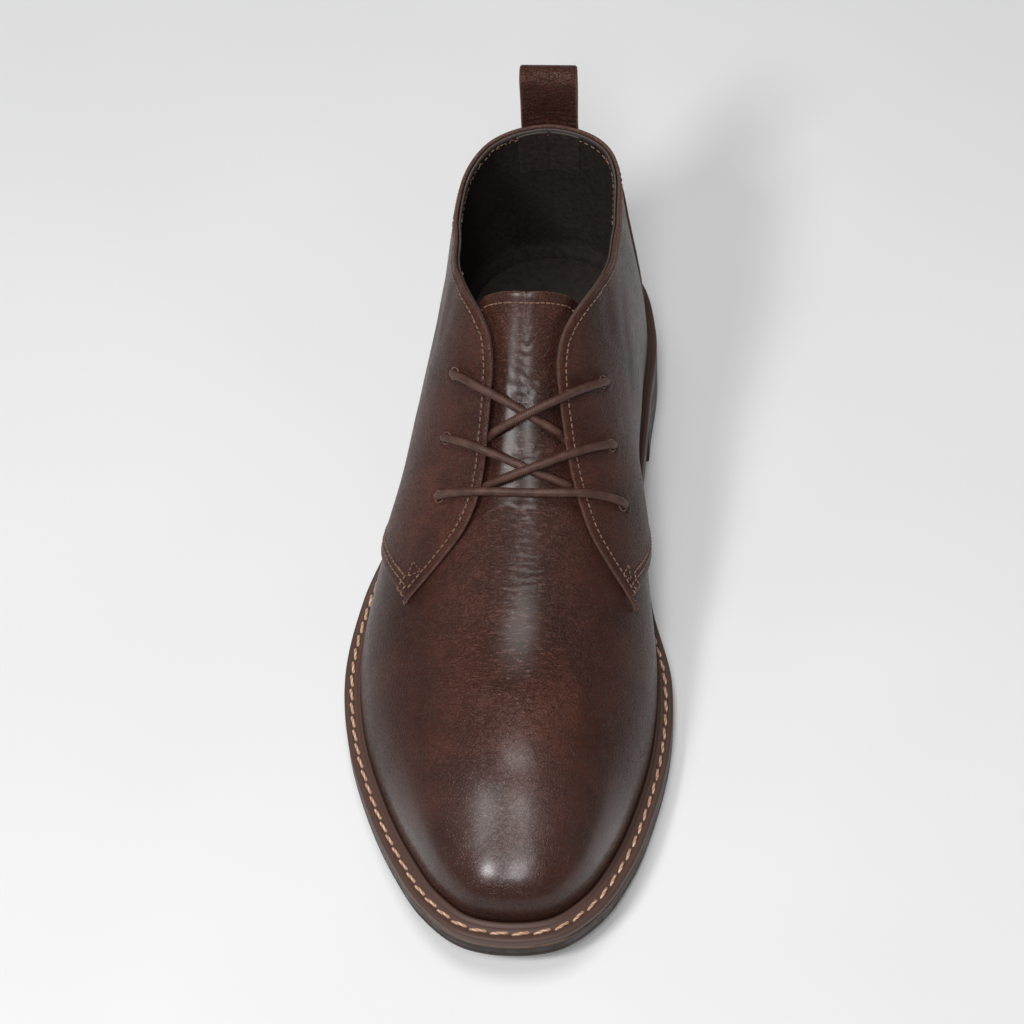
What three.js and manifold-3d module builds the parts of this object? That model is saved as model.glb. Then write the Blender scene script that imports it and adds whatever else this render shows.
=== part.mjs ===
// Chukka boot for the right foot: one boot, standing empty on its sole.
// Millimetres. The toe points along -Y, the heel along +Y, the outer side of the foot is -X
// and the inner side +X. The origin lies on the floor, under the middle of the outsole.
import * as THREE from 'three';
import Module from 'manifold-3d';

const wasm = await Module();
wasm.setup();

// Sizes of the sole
const soleLength = 290;
const ballWidth = 115;
const outsoleThickness = 7.2;
const weltThickness = 3.3;
const heelHeight = 17;
const toeSpring = 9;
const weltReach = 8;
const insoleThickness = 4.6;
const heelLength = 80;
const edgeRound = 0.9;

// Sizes of the upper
const instepRise = 95;
const collarRise = 82.5;
const liningWall = 1.4;
const quarterWall = 1.8;
const counterWall = 0.8;
const tongueWall = 1.6;
const tongueDrop = 1.2;
const throatOverlap = 7;
const collarLip = 0.5;
const footLip = 0.6;
const eyeletInset = 16;
const eyeletBore = 4.4;

// Sizes of the pull loop and the lace
const loopWidth = 20;
const loopRise = 24;
const loopLeather = 1.8;
const loopGap = 5.2;
const loopTail = 17;
const loopSeam = 3;
const loopOffset = 1;
const laceDiameter = 3.0;
const laceDrop = 7;
const laceStop = 1.2;

// Clearance between curved pieces that meet
const gap = 0.3;

// Outline of the sole: shares of its length from the toe, and of the ball width to each side
// of the line through the middle of the heel
const outlineRows = [
  { at: 0.012, lateral: 0.179, medial: 0.121 },
  { at: 0.050, lateral: 0.290, medial: 0.228 },
  { at: 0.110, lateral: 0.386, medial: 0.310 },
  { at: 0.190, lateral: 0.478, medial: 0.373 },
  { at: 0.280, lateral: 0.549, medial: 0.414 },
  { at: 0.375, lateral: 0.576, medial: 0.414 },
  { at: 0.480, lateral: 0.540, medial: 0.348 },
  { at: 0.600, lateral: 0.430, medial: 0.307 },
  { at: 0.740, lateral: 0.362, medial: 0.322 },
  { at: 0.860, lateral: 0.337, medial: 0.334 },
  { at: 0.945, lateral: 0.272, medial: 0.272 },
  { at: 0.987, lateral: 0.148, medial: 0.150 },
];

// The toe's foremost point lies a little to the outer side, in shares of the ball width
const toeOff = -0.028;

// How far the welt reaches beyond the foot of the upper, as shares of weltReach
const reachRows = [
  { around: 0.00, lateral: 1.00, medial: 1.00 },
  { around: 0.12, lateral: 0.92, medial: 0.92 },
  { around: 0.24, lateral: 0.82, medial: 0.80 },
  { around: 0.40, lateral: 0.77, medial: 0.74 },
  { around: 0.52, lateral: 0.78, medial: 0.66 },
  { around: 0.64, lateral: 0.62, medial: 0.60 },
  { around: 0.80, lateral: 0.66, medial: 0.62 },
  { around: 1.00, lateral: 0.70, medial: 0.70 },
];

// Ridge of the last: shares of the sole's length and of instepRise above the seat
const ridgeRows = [
  { at: 0.100, up: 0.275, off: 0.000 },
  { at: 0.172, up: 0.385, off: -0.020 },
  { at: 0.260, up: 0.440, off: -0.028 },
  { at: 0.345, up: 0.485, off: -0.030 },
  { at: 0.415, up: 0.556, off: -0.022 },
  { at: 0.483, up: 0.655, off: -0.014 },
  { at: 0.552, up: 0.756, off: -0.024 },
  { at: 0.620, up: 0.868, off: -0.030 },
  { at: 0.683, up: 1.000, off: -0.026 },
  { at: 0.776, up: 1.300, off: -0.020 },
];

// Ribs of the last, by their place round the foot line from toe (0) to heel (1).
// meets: where the rib reaches the ridge, a share of the length. outer, inner and rise: the
// lower handle, outwards on either side and up. side, front and fall: the upper handle.
// All are shares of the ball width except rise and fall, which are shares of instepRise.
const ribRows = [
  { around: 0.00, meets: 0.124, outer: 0.005, inner: 0.005, rise: 0.18, side: 0.00, front: 0.16, fall: 0 },
  { around: 0.08, meets: 0.126, outer: 0.009, inner: 0.009, rise: 0.18, side: 0.09, front: 0.13, fall: 0 },
  { around: 0.16, meets: 0.142, outer: 0.011, inner: 0.011, rise: 0.19, side: 0.17, front: 0.07, fall: 0 },
  { around: 0.24, meets: 0.190, outer: 0.013, inner: 0.016, rise: 0.20, side: 0.22, front: 0.03, fall: 0 },
  { around: 0.32, meets: 0.276, outer: 0.018, inner: 0.026, rise: 0.22, side: 0.25, front: 0.00, fall: 0 },
  { around: 0.40, meets: 0.366, outer: 0.024, inner: 0.052, rise: 0.25, side: 0.25, front: 0.00, fall: 0 },
  { around: 0.48, meets: 0.455, outer: 0.054, inner: 0.126, rise: 0.32, side: 0.22, front: 0.00, fall: 0 },
  { around: 0.55, meets: 0.541, outer: 0.082, inner: 0.136, rise: 0.40, side: 0.20, front: 0.00, fall: 0 },
  { around: 0.62, meets: 0.621, outer: 0.088, inner: 0.084, rise: 0.47, side: 0.18, front: 0.00, fall: 0 },
  { around: 0.70, meets: 0.702, outer: 0.064, inner: 0.048, rise: 0.52, side: 0.17, front: 0.00, fall: 0 },
  { around: 0.78, meets: 0.776, outer: 0.038, inner: 0.002, rise: 0.52, side: 0.15, front: 0.00, fall: 0.10 },
  { around: 0.87, meets: 0.776, outer: 0.016, inner: -0.022, rise: 0.48, side: 0.02, front: -0.03, fall: 0.45 },
  { around: 0.935, meets: 0.776, outer: 0.008, inner: -0.010, rise: 0.42, side: 0.02, front: -0.03, fall: 0.50 },
  { around: 1.00, meets: 0.776, outer: 0.010, inner: 0.010, rise: 0.38, side: 0.00, front: -0.03, fall: 0.55 },
];

// Top of the last above the collar, where the ribs behind the ridge end
const ridgeEnd = 0.78;
const topRows = [
  { around: 0.780, at: 0.776, out: 0.000, off: -0.020, up: 1.300 },
  { around: 0.820, at: 0.800, out: 0.113, off: -0.022, up: 1.300 },
  { around: 0.870, at: 0.842, out: 0.202, off: -0.012, up: 1.310 },
  { around: 0.935, at: 0.905, out: 0.164, off: 0.008, up: 1.320 },
  { around: 1.000, at: 0.931, out: 0.000, off: 0.010, up: 1.320 },
];

// Collar line seen from the side: shares of the sole's length and of collarRise above the heel seat
const collarRows = [
  { at: 0.640, up: 1.020 },
  { at: 0.680, up: 1.010 },
  { at: 0.710, up: 0.960 },
  { at: 0.745, up: 0.910 },
  { at: 0.790, up: 0.875 },
  { at: 0.835, up: 0.870 },
  { at: 0.880, up: 0.900 },
  { at: 0.920, up: 0.945 },
  { at: 0.960, up: 1.000 },
];

// Front edge of the quarters: their distance from the ridge along the rib, in shares of the
// ball width, and the lower edge as a share of the rib above the foot line
const facingRows = [
  { around: 0.425, fromRidge: 0.375, lower: 0.520 },
  { around: 0.440, fromRidge: 0.320, lower: 0.470 },
  { around: 0.460, fromRidge: 0.255, lower: 0.400 },
  { around: 0.480, fromRidge: 0.200, lower: 0.330 },
  { around: 0.505, fromRidge: 0.158, lower: 0.250 },
  { around: 0.535, fromRidge: 0.130, lower: 0.160 },
  { around: 0.565, fromRidge: 0.116, lower: 0.070 },
  { around: 0.590, fromRidge: 0.106, lower: 0.000 },
  { around: 0.620, fromRidge: 0.103, lower: 0.000 },
  { around: 0.642, fromRidge: 0.118, lower: 0.000 },
  { around: 0.660, fromRidge: 0.150, lower: 0.000 },
  { around: 0.678, fromRidge: 0.203, lower: 0.000 },
  { around: 0.694, fromRidge: 0.258, lower: 0.000 },
  { around: 0.710, fromRidge: 0.318, lower: 0.000 },
];
const quarterTip = 0.425;
const tipsEnd = 0.52;
const throatStart = 0.485;
const collarStart = 0.64;
const tongueTop = 0.678;
const tongueDip = 0.008;
const windowEnd = 0.745;

// Eyelets, by their ribs, with their distance behind the facing in shares of eyeletInset
const eyeletRows = [
  { around: 0.517, lateral: 1.00, medial: 1.22 },
  { around: 0.566, lateral: 1.04, medial: 1.24 },
  { around: 0.621, lateral: 1.00, medial: 1.24 },
];

// Crossings of the lace: the row of eyelets they start from and where they meet the other facing
const crossingRows = [
  { name: 'lace_middle', row: 1, meets: 0.521 },
  { name: 'lace_top', row: 2, meets: 0.563 },
];

// Front edge of the counter: a place round the foot line for each share of the rib
const counterRows = [
  { up: 0.00, around: 0.845 },
  { up: 0.20, around: 0.850 },
  { up: 0.40, around: 0.868 },
  { up: 0.52, around: 0.905 },
];
const counterTop = 0.52;

// Fineness of searches and meshes
const weld = 0.0005;
const tolerance = 0.02;
const searchSteps = 36;
const backReach = 0.12;
const nearRidge = 0.985;
const holeReach = 8;
const soleParts = 44;
const insoleParts = 32;
const laceSides = 8;
const laceParts = 16;
const laceJoin = 0.88;
const laceBow = 0.009;

// A smooth curve through the rows of a table: gives every column at a place
function through(rows, key) {
  const places = rows.map((row) => row[key]);
  const last = rows.length - 1;
  const columns = Object.keys(rows[0]).filter((name) => name !== key);
  const slope = (name, i) => {
    const step = (a, b) => (rows[b][name] - rows[a][name]) / (places[b] - places[a]);
    if (i === 0) return step(0, 1);
    if (i === last) return step(last - 1, last);
    const before = places[i] - places[i - 1];
    const after = places[i + 1] - places[i];
    return (step(i - 1, i) * after + step(i, i + 1) * before) / (before + after);
  };
  const slopes = columns.map((name) => rows.map((row, i) => slope(name, i)));
  return (place) => {
    const p = Math.min(Math.max(place, places[0]), places[last]);
    let i = 0;
    while (i < last - 1 && p > places[i + 1]) i += 1;
    const width = places[i + 1] - places[i];
    const t = (p - places[i]) / width;
    const result = {};
    columns.forEach((name, k) => {
      const a = rows[i][name];
      const b = rows[i + 1][name];
      const ta = slopes[k][i] * width;
      const tb = slopes[k][i + 1] * width;
      result[name] = a + t * (ta + t * (3 * (b - a) - 2 * ta - tb + t * (2 * (a - b) + ta + tb)));
    });
    return result;
  };
}

// The same table carried on past both ends by its mirror image, so that it runs smoothly through them
function mirrored(rows, key, odd) {
  const flip = (row, place) => {
    const copy = { ...row, [key]: place };
    odd.forEach((name) => { copy[name] = -row[name]; });
    return copy;
  };
  const end = rows[rows.length - 1][key];
  const start = rows[0][key];
  const before = rows.slice(1, 3).reverse().map((row) => flip(row, 2 * start - row[key]));
  const after = rows.slice(-3, -1).reverse().map((row) => flip(row, 2 * end - row[key]));
  return [...before, ...rows, ...after];
}

const yAt = (share) => (share - 0.5) * soleLength;
const shareAt = (y) => y / soleLength + 0.5;
const smoothStep = (x) => {
  const t = Math.min(Math.max(x, 0), 1);
  return t * t * (3 - 2 * t);
};

// Underside of the outsole along the foot: toe spring, flat ball, arch and heel
const springEnd = 0.30;
const archStart = 0.43;
const archEnd = 0.80;
function underside(y) {
  const share = shareAt(y);
  const spring = Math.max(springEnd - share, 0) / springEnd;
  const arch = (share - archStart) / (archEnd - archStart);
  return toeSpring * spring * spring + heelHeight * smoothStep(arch);
}
const outsoleTop = (y) => underside(y) + outsoleThickness;
const weltBottom = (y) => outsoleTop(y) + gap;
const seat = (y) => weltBottom(y) + weltThickness;

// Closed outline of the sole, from the toe round the inner side to the heel and back
function closedOutline() {
  const points = [[toeOff * ballWidth, yAt(0)]];
  outlineRows.forEach((row) => points.push([row.medial * ballWidth, yAt(row.at)]));
  const heelIndex = points.length;
  points.push([0, yAt(1)]);
  [...outlineRows].reverse().forEach((row) => points.push([-row.lateral * ballWidth, yAt(row.at)]));
  const count = points.length;
  const run = [0];
  for (let i = 0; i < count; i += 1) {
    const [ax, ay] = points[i];
    const [bx, by] = points[(i + 1) % count];
    run.push(run[i] + Math.hypot(bx - ax, by - ay));
  }
  const whole = run[count];
  const rows = [];
  for (let i = -2; i <= count + 2; i += 1) {
    const turn = Math.floor(i / count);
    const k = i - turn * count;
    rows.push({ run: run[k] + turn * whole, x: points[k][0], y: points[k][1] });
  }
  return { place: through(rows, 'run'), whole, heelRun: run[heelIndex] };
}
const outline = closedOutline();

// Place on the outline for a turn from -1 (heel) by the outer side, 0 (toe) and the inner side to 1 (heel)
function runAt(turn) {
  if (turn >= 0) return turn * outline.heelRun;
  return outline.whole + turn * (outline.whole - outline.heelRun);
}
let widestLateral = 0;
let widestMedial = 0;
for (let i = 0; i <= 400; i += 1) {
  const { x } = outline.place((i / 400) * outline.whole);
  widestLateral = Math.min(widestLateral, x);
  widestMedial = Math.max(widestMedial, x);
}
const axisX = -(widestLateral + widestMedial) / 2;

// Point of the outline moved inwards by inset, with the outward direction in plan
function outlinePoint(turn, inset) {
  const run = runAt(turn);
  const here = outline.place(run);
  const step = 0.5;
  const wrap = (r) => (r + outline.whole) % outline.whole;
  const ahead = outline.place(wrap(run + step));
  const behind = outline.place(wrap(run - step));
  const dx = ahead.x - behind.x;
  const dy = ahead.y - behind.y;
  const size = Math.hypot(dx, dy);
  const normal = [dy / size, -dx / size];
  return { x: axisX + here.x - normal[0] * inset, y: here.y - normal[1] * inset, normal };
}

const reach = through(mirrored(reachRows, 'around', []), 'around');
function reachAt(turn) {
  const row = reach(Math.abs(turn));
  return weltReach * (turn < 0 ? row.lateral : row.medial);
}

const ridge = through(ridgeRows, 'at');
const ribShape = through(mirrored(ribRows, 'around', ['side']), 'around');
const topLine = through([...topRows, ...mirrored(topRows, 'around', ['out']).slice(-2)], 'around');
const collarLine = through(collarRows, 'at');
const facing = through(facingRows, 'around');
const counterEdge = through(counterRows, 'up');

function ridgePoint(share) {
  const row = ridge(share);
  const y = yAt(share);
  return [axisX + row.off * ballWidth, y, seat(y) + row.up * instepRise];
}

// Control points of the rib at a turn round the foot line
function ribAt(turn) {
  const around = Math.abs(turn);
  const side = turn < 0 ? -1 : 1;
  const row = ribShape(around);
  const foot = outlinePoint(turn, reachAt(turn));
  const lean = ballWidth * (turn < 0 ? row.outer : row.inner);
  const start = [foot.x, foot.y, seat(foot.y) + gap];
  const low = [
    start[0] + foot.normal[0] * lean,
    start[1] + foot.normal[1] * lean,
    start[2] + row.rise * instepRise,
  ];
  let top;
  let slope = 0;
  if (around <= ridgeEnd) {
    const share = row.meets;
    top = ridgePoint(share);
    const step = 0.002;
    const a = ridgePoint(share - step);
    const b = ridgePoint(share + step);
    slope = (b[2] - a[2]) / (b[1] - a[1]);
  } else {
    const end = topLine(around);
    const y = yAt(end.at);
    top = [axisX + (side * end.out + end.off) * ballWidth, y, seat(y) + end.up * instepRise];
  }
  const front = row.front * ballWidth;
  const high = [
    top[0] + side * row.side * ballWidth,
    top[1] - front,
    top[2] - slope * front - row.fall * instepRise,
  ];
  return [start, low, high, top];
}

const ribCache = new Map();
function cachedRib(turn) {
  const key = turn.toFixed(6);
  if (!ribCache.has(key)) ribCache.set(key, ribAt(turn));
  return ribCache.get(key);
}

// Outer surface of the vamp and tongue
function last(turn, v) {
  const [a, b, c, d] = cachedRib(turn);
  const w = 1 - v;
  const shares = [w * w * w, 3 * w * w * v, 3 * w * v * v, v * v * v];
  return [0, 1, 2].map((k) => shares[0] * a[k] + shares[1] * b[k] + shares[2] * c[k] + shares[3] * d[k]);
}

function wrapTurn(turn) {
  if (turn > 1) return turn - 2;
  if (turn < -1) return turn + 2;
  return turn;
}

const distance = (a, b) => Math.hypot(a[0] - b[0], a[1] - b[1], a[2] - b[2]);

function normalAt(turn, v) {
  const dt = 0.004;
  const dv = 0.01;
  const mid = Math.min(v, nearRidge);
  const a = last(wrapTurn(turn - dt), mid);
  const b = last(wrapTurn(turn + dt), mid);
  const c = last(turn, Math.max(mid - dv, 0));
  const d = last(turn, Math.min(mid + dv, 1));
  const p = [b[0] - a[0], b[1] - a[1], b[2] - a[2]];
  const q = [d[0] - c[0], d[1] - c[1], d[2] - c[2]];
  const n = [p[1] * q[2] - p[2] * q[1], p[2] * q[0] - p[0] * q[2], p[0] * q[1] - p[1] * q[0]];
  if (v === 0) n[2] = 0;
  const size = Math.hypot(...n);
  return n.map((value) => value / size);
}

// Point at a height over the last
function outwards(turn, v, height) {
  const n = normalAt(turn, v);
  return last(turn, v).map((value, k) => value + n[k] * height);
}

// Place on a rib at a distance from the ridge
function fromRidge(turn, length) {
  const count = 60;
  let before = last(turn, 1);
  let run = 0;
  for (let i = 1; i <= count; i += 1) {
    const here = last(turn, 1 - i / count);
    const piece = distance(here, before);
    if (run + piece >= length) return 1 - (i - 1 + (length - run) / piece) / count;
    run += piece;
    before = here;
  }
  return 0;
}

// Place where a rib crosses the collar line
function atCollar(turn) {
  const heelSeat = seat(yAt(1));
  const over = (v) => {
    const p = last(turn, v);
    return p[2] - heelSeat - collarLine(shareAt(p[1])).up * collarRise;
  };
  let low = 0.3;
  let high = 1;
  if (over(high) < 0) return 1;
  for (let i = 0; i < searchSteps; i += 1) {
    const middle = (low + high) / 2;
    if (over(middle) > 0) high = middle;
    else low = middle;
  }
  return low;
}

function quarterTop(turn) {
  const around = Math.abs(turn);
  const collar = around > collarStart ? atCollar(turn) : 1;
  if (around > facingRows[facingRows.length - 1].around) return collar;
  return Math.min(collar, fromRidge(turn, facing(around).fromRidge * ballWidth));
}

// Lower edge of the quarters, which stops a little above the foot of the inner layer
function quarterFoot(turn) {
  return Math.max(facing(Math.abs(turn)).lower, above(turn, footLip));
}

// Place on a rib at a height above the foot line
function above(turn, height) {
  const start = last(turn, 0);
  let v = 0;
  while (v < 1 && distance(start, last(turn, v)) < height) v += 0.0005;
  return v;
}

// Place on a rib at a length below another place
function below(turn, v, length) {
  const start = last(turn, v);
  let low = 0;
  let high = v;
  for (let i = 0; i < searchSteps; i += 1) {
    const middle = (low + high) / 2;
    if (distance(start, last(turn, middle)) > length) low = middle;
    else high = middle;
  }
  return high;
}

// Edge of the window for the tongue, under the quarters; it runs out into the collar
function windowEdge(turn) {
  const around = Math.abs(turn);
  const cover = smoothStep((windowEnd - around) / (windowEnd - tongueTop));
  return below(turn, quarterTop(turn), collarLip + (throatOverlap - collarLip) * cover);
}

// Edge of the tongue: its clearance inside the window
function tongueEdge(turn) {
  const edge = windowEdge(turn);
  const clear = 2 * gap;
  let v = edge;
  while (v < 0.995 && distance(last(turn, edge), last(turn, v)) < clear) v += 0.002;
  return v;
}

// An open sheet of triangles over columns of places [turn, v]; coinciding points become one
function sheetOver(columns, closed) {
  const index = new Map();
  const points = [];
  const normals = [];
  const faces = [];
  const vertex = ([turn, v]) => {
    const p = last(turn, v);
    const key = p.map((value) => Math.round(value / weld)).join(' ');
    if (!index.has(key)) {
      index.set(key, points.length);
      points.push(p);
      normals.push([0, 0, 0]);
    }
    const id = index.get(key);
    normalAt(turn, v).forEach((value, k) => { normals[id][k] += value; });
    return id;
  };
  const ids = columns.map((column) => column.map(vertex));
  const add = (a, b, c) => {
    if (a !== b && b !== c && c !== a) faces.push([a, b, c]);
  };
  const count = closed ? ids.length : ids.length - 1;
  for (let i = 0; i < count; i += 1) {
    const here = ids[i];
    const next = ids[(i + 1) % ids.length];
    for (let j = 0; j + 1 < Math.min(here.length, next.length); j += 1) {
      add(here[j], next[j], next[j + 1]);
      add(here[j], next[j + 1], here[j + 1]);
    }
  }
  normals.forEach((n) => {
    const size = Math.hypot(...n);
    n.forEach((value, k) => { n[k] = value / size; });
  });
  return { points, normals, faces };
}

// A closed wall between two distances from an open sheet
function wallOver(sheet, outer, inner) {
  const count = sheet.points.length;
  const moved = (far) => sheet.points.map((p, i) => p.map((value, k) => value + sheet.normals[i][k] * far));
  const positions = [...moved(outer), ...moved(inner)];
  const faces = [];
  const edges = new Set();
  sheet.faces.forEach(([a, b, c]) => {
    faces.push([a, b, c], [a + count, c + count, b + count]);
    [[a, b], [b, c], [c, a]].forEach(([p, q]) => edges.add(`${p} ${q}`));
  });
  edges.forEach((edge) => {
    const [a, b] = edge.split(' ').map(Number);
    if (edges.has(`${b} ${a}`)) return;
    faces.push([b, a, a + count], [b, a + count, b + count]);
  });
  return solid(positions, faces);
}

function solid(positions, faces) {
  const mesh = new wasm.Mesh({
    numProp: 3,
    vertProperties: new Float32Array(positions.flat()),
    triVerts: new Uint32Array(faces.flat()),
  });
  return new wasm.Manifold(mesh);
}

function solidOf(geometry) {
  const index = new Map();
  const points = [];
  const place = geometry.getAttribute('position');
  const order = geometry.index ? Array.from(geometry.index.array) : [...Array(place.count).keys()];
  const ids = order.map((i) => {
    const p = [place.getX(i), place.getY(i), place.getZ(i)];
    const key = p.map((value) => Math.round(value / weld)).join(' ');
    if (!index.has(key)) {
      index.set(key, points.length);
      points.push(p);
    }
    return index.get(key);
  });
  const faces = [];
  for (let i = 0; i < ids.length; i += 3) {
    const [a, b, c] = ids.slice(i, i + 3);
    if (a !== b && b !== c && c !== a) faces.push([a, b, c]);
  }
  return solid(points, faces);
}

// Values from a to b in equal steps, both ends included
function steps(a, b, count) {
  return Array.from({ length: count + 1 }, (_, i) => a + ((b - a) * i) / count);
}

// The upper's inner layer: vamp and lining, with the window for the tongue
function innerLayer() {
  const rows = 9;
  const crown = 5;
  const front = steps(0, throatStart, 20);
  const back = steps(throatStart, 1, 20);
  const one = [...front, ...back.slice(1)];
  const turns = [...one.slice(1, -1).reverse().map((turn) => -turn), ...one];
  const level = windowEdge(throatStart);
  const columns = turns.map((turn) => {
    const open = Math.abs(turn) > throatStart + 1e-9;
    const top = open ? windowEdge(turn) : level;
    const column = steps(0, top, rows).map((v) => [turn, v]);
    if (open) return column;
    return [...column, ...steps(top, 1, crown).slice(1).map((v) => [turn, v])];
  });
  return wallOver(sheetOver(columns, true), 0, -liningWall);
}

// The quarters: one wall from tip to tip round the heel, laid over the inner layer
function quarters() {
  const wide = 8;
  const flap = 2;
  const near = steps(quarterTip, tipsEnd, 8);
  const facings = steps(tipsEnd, windowEnd, 13);
  const back = steps(windowEnd, 1, 8);
  const one = [...near, ...facings.slice(1), ...back.slice(1)];
  const turns = [...one, ...one.slice(0, -1).reverse().map((turn) => -turn)];
  const columns = turns.map((turn) => {
    const top = quarterTop(turn);
    const foot = Math.abs(turn) === quarterTip ? top : Math.min(quarterFoot(turn), top);
    const bend = Math.max(below(turn, top, 1.4 * throatOverlap), (foot + top) / 2);
    return [...steps(foot, bend, wide), ...steps(bend, top, flap).slice(1)].map((v) => [turn, v]);
  });
  return wallOver(sheetOver(columns, false), quarterWall, -liningWall / 2);
}

// The counter: a raised panel round the back of the heel
function counter() {
  const rows = 6;
  const across = 22;
  const columns = steps(0, 1, across).map((share) => steps(0, counterTop, rows).map((level) => {
    const edge = counterEdge(level).around;
    const turn = wrapTurn(edge + (2 - 2 * edge) * share);
    return [turn, Math.max(level, above(turn, 2 * footLip))];
  }));
  return wallOver(sheetOver(columns, false), quarterWall + counterWall, liningWall / 2);
}

// Distance of an eyelet from the ridge
function eyeletFar(row, side) {
  const inset = eyeletInset * (side < 0 ? row.lateral : row.medial);
  return facing(row.around).fromRidge * ballWidth + inset;
}

// A round bar along a direction, for the holes
function barAlong(point, direction, radius, half) {
  const bar = new THREE.CylinderGeometry(radius, radius, 2 * half, 12);
  const upright = new THREE.Vector3(0, 1, 0);
  const turn = new THREE.Quaternion();
  turn.setFromUnitVectors(upright, new THREE.Vector3(...direction));
  bar.applyQuaternion(turn);
  bar.translate(...point);
  return solidOf(bar);
}

function upperSolid() {
  let body = innerLayer().add(quarters()).add(counter());
  eyeletRows.forEach((row) => {
    [-1, 1].forEach((side) => {
      const turn = side * row.around;
      const v = fromRidge(turn, eyeletFar(row, side));
      body = body.subtract(barAlong(last(turn, v), normalAt(turn, v), eyeletBore / 2, holeReach));
    });
  });
  return body.simplify(tolerance);
}

// The tongue fills the window, a little below the quarters
function tongueSolid() {
  const rows = 6;
  const slit = (3 * gap) / outline.heelRun;
  const one = steps(throatStart + slit, tongueTop, 12);
  const half = (side, around) => {
    const back = smoothStep((around - throatStart) / (tongueTop - throatStart));
    return steps(tongueEdge(side * around), 1, rows).map((v, i) => {
      const dip = tongueDip * back * smoothStep(i / rows);
      return [side * (around - dip), v];
    });
  };
  const columns = one.map((around) => [...half(-1, around), ...half(1, around).slice(0, -1).reverse()]);
  const sheet = sheetOver(columns, false);
  sheet.faces = sheet.faces.map(([a, b, c]) => [a, c, b]);
  return wallOver(sheet, -tongueDrop, -tongueDrop - tongueWall);
}

// A ring of points round the sole at an inset, with its height from a function of y
function ring(turns, inset, height) {
  return turns.map((turn) => {
    const p = outlinePoint(turn, typeof inset === 'function' ? inset(turn) : inset);
    return [p.x, p.y, height(p.y)];
  });
}

// A plate lofted through rings; its first and last rings are closed by strips from side to side
function plateThrough(rings) {
  const count = rings[0].length;
  const faces = [];
  for (let level = 0; level + 1 < rings.length; level += 1) {
    for (let i = 0; i < count; i += 1) {
      const a = level * count + i;
      const b = level * count + ((i + 1) % count);
      faces.push([a, b, b + count], [a, b + count, a + count]);
    }
  }
  const cap = (start, flip) => {
    const push = (a, b, c) => {
      const face = flip ? [a, c, b] : [a, b, c];
      faces.push(face.map((i) => start + i));
    };
    for (let i = 0, j = count - 1; i + 1 < j; i += 1, j -= 1) {
      push(i, i + 1, j);
      if (i + 1 < j - 1) push(i + 1, j - 1, j);
    }
  };
  cap(0, true);
  cap((rings.length - 1) * count, false);
  return solid(rings.flat(), faces);
}

// A band lofted through rings that close on the first one again
function bandThrough(rings) {
  const count = rings[0].length;
  const faces = [];
  rings.forEach((_, level) => {
    const next = (level + 1) % rings.length;
    for (let i = 0; i < count; i += 1) {
      const j = (i + 1) % count;
      faces.push([level * count + i, level * count + j, next * count + j]);
      faces.push([level * count + i, next * count + j, next * count + i]);
    }
  });
  return solid(rings.flat(), faces);
}

// Turns all round the sole, closer at the toe and heel, in the order heel, outer side, toe, inner side
function soleTurns(half) {
  const one = steps(0, 1, half);
  return [...one.slice(1).reverse().map((turn) => -turn), ...one.slice(0, -1)];
}

function outsoleSolid() {
  const turns = soleTurns(soleParts);
  return plateThrough([
    ring(turns, edgeRound, underside),
    ring(turns, 0, (y) => underside(y) + edgeRound),
    ring(turns, 0, (y) => outsoleTop(y) - edgeRound / 2),
    ring(turns, edgeRound / 2, outsoleTop),
  ]);
}

const feather = (turn) => reachAt(turn);
const innerWall = (turn) => feather(turn) + liningWall + gap;

function weltSolid() {
  const turns = soleTurns(soleParts);
  const inside = (turn) => innerWall(turn) + gap;
  return bandThrough([
    ring(turns, edgeRound / 2, weltBottom),
    ring(turns, 0, (y) => weltBottom(y) + edgeRound / 2),
    ring(turns, 0, (y) => seat(y) - edgeRound),
    ring(turns, edgeRound, seat),
    ring(turns, inside, seat),
    ring(turns, inside, weltBottom),
  ]);
}

function insoleSolid() {
  const turns = soleTurns(insoleParts);
  const inset = (turn) => innerWall(turn) + 3 * gap;
  return plateThrough([
    ring(turns, inset, weltBottom),
    ring(turns, inset, (y) => weltBottom(y) + insoleThickness),
  ]);
}

// The heel block stands under the outsole behind its breast
function heelSolid() {
  const breast = 1 - heelLength / soleLength;
  const start = turnAtShare(breast);
  const half = steps(0, 1, 14);
  const lateral = half.map((t) => -(start.lateral + (1 - start.lateral) * t));
  const medial = half.map((t) => start.medial + (1 - start.medial) * t);
  const all = [...lateral.reverse(), ...medial.slice(0, -1)];
  return plateThrough([
    ring(all, 2 * edgeRound, () => 0),
    ring(all, edgeRound, () => edgeRound),
    ring(all, 0, (y) => underside(y) - gap - edgeRound / 2),
    ring(all, edgeRound / 2, (y) => underside(y) - gap),
  ]);
}

// Turns where the outline passes a share of the length
function turnAtShare(share) {
  const find = (side) => {
    let low = 0.3;
    let high = 0.95;
    for (let i = 0; i < searchSteps; i += 1) {
      const middle = (low + high) / 2;
      if (shareAt(outlinePoint(side * middle, 0).y) > share) high = middle;
      else low = middle;
    }
    return low;
  };
  return { lateral: find(-1), medial: find(1) };
}

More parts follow.
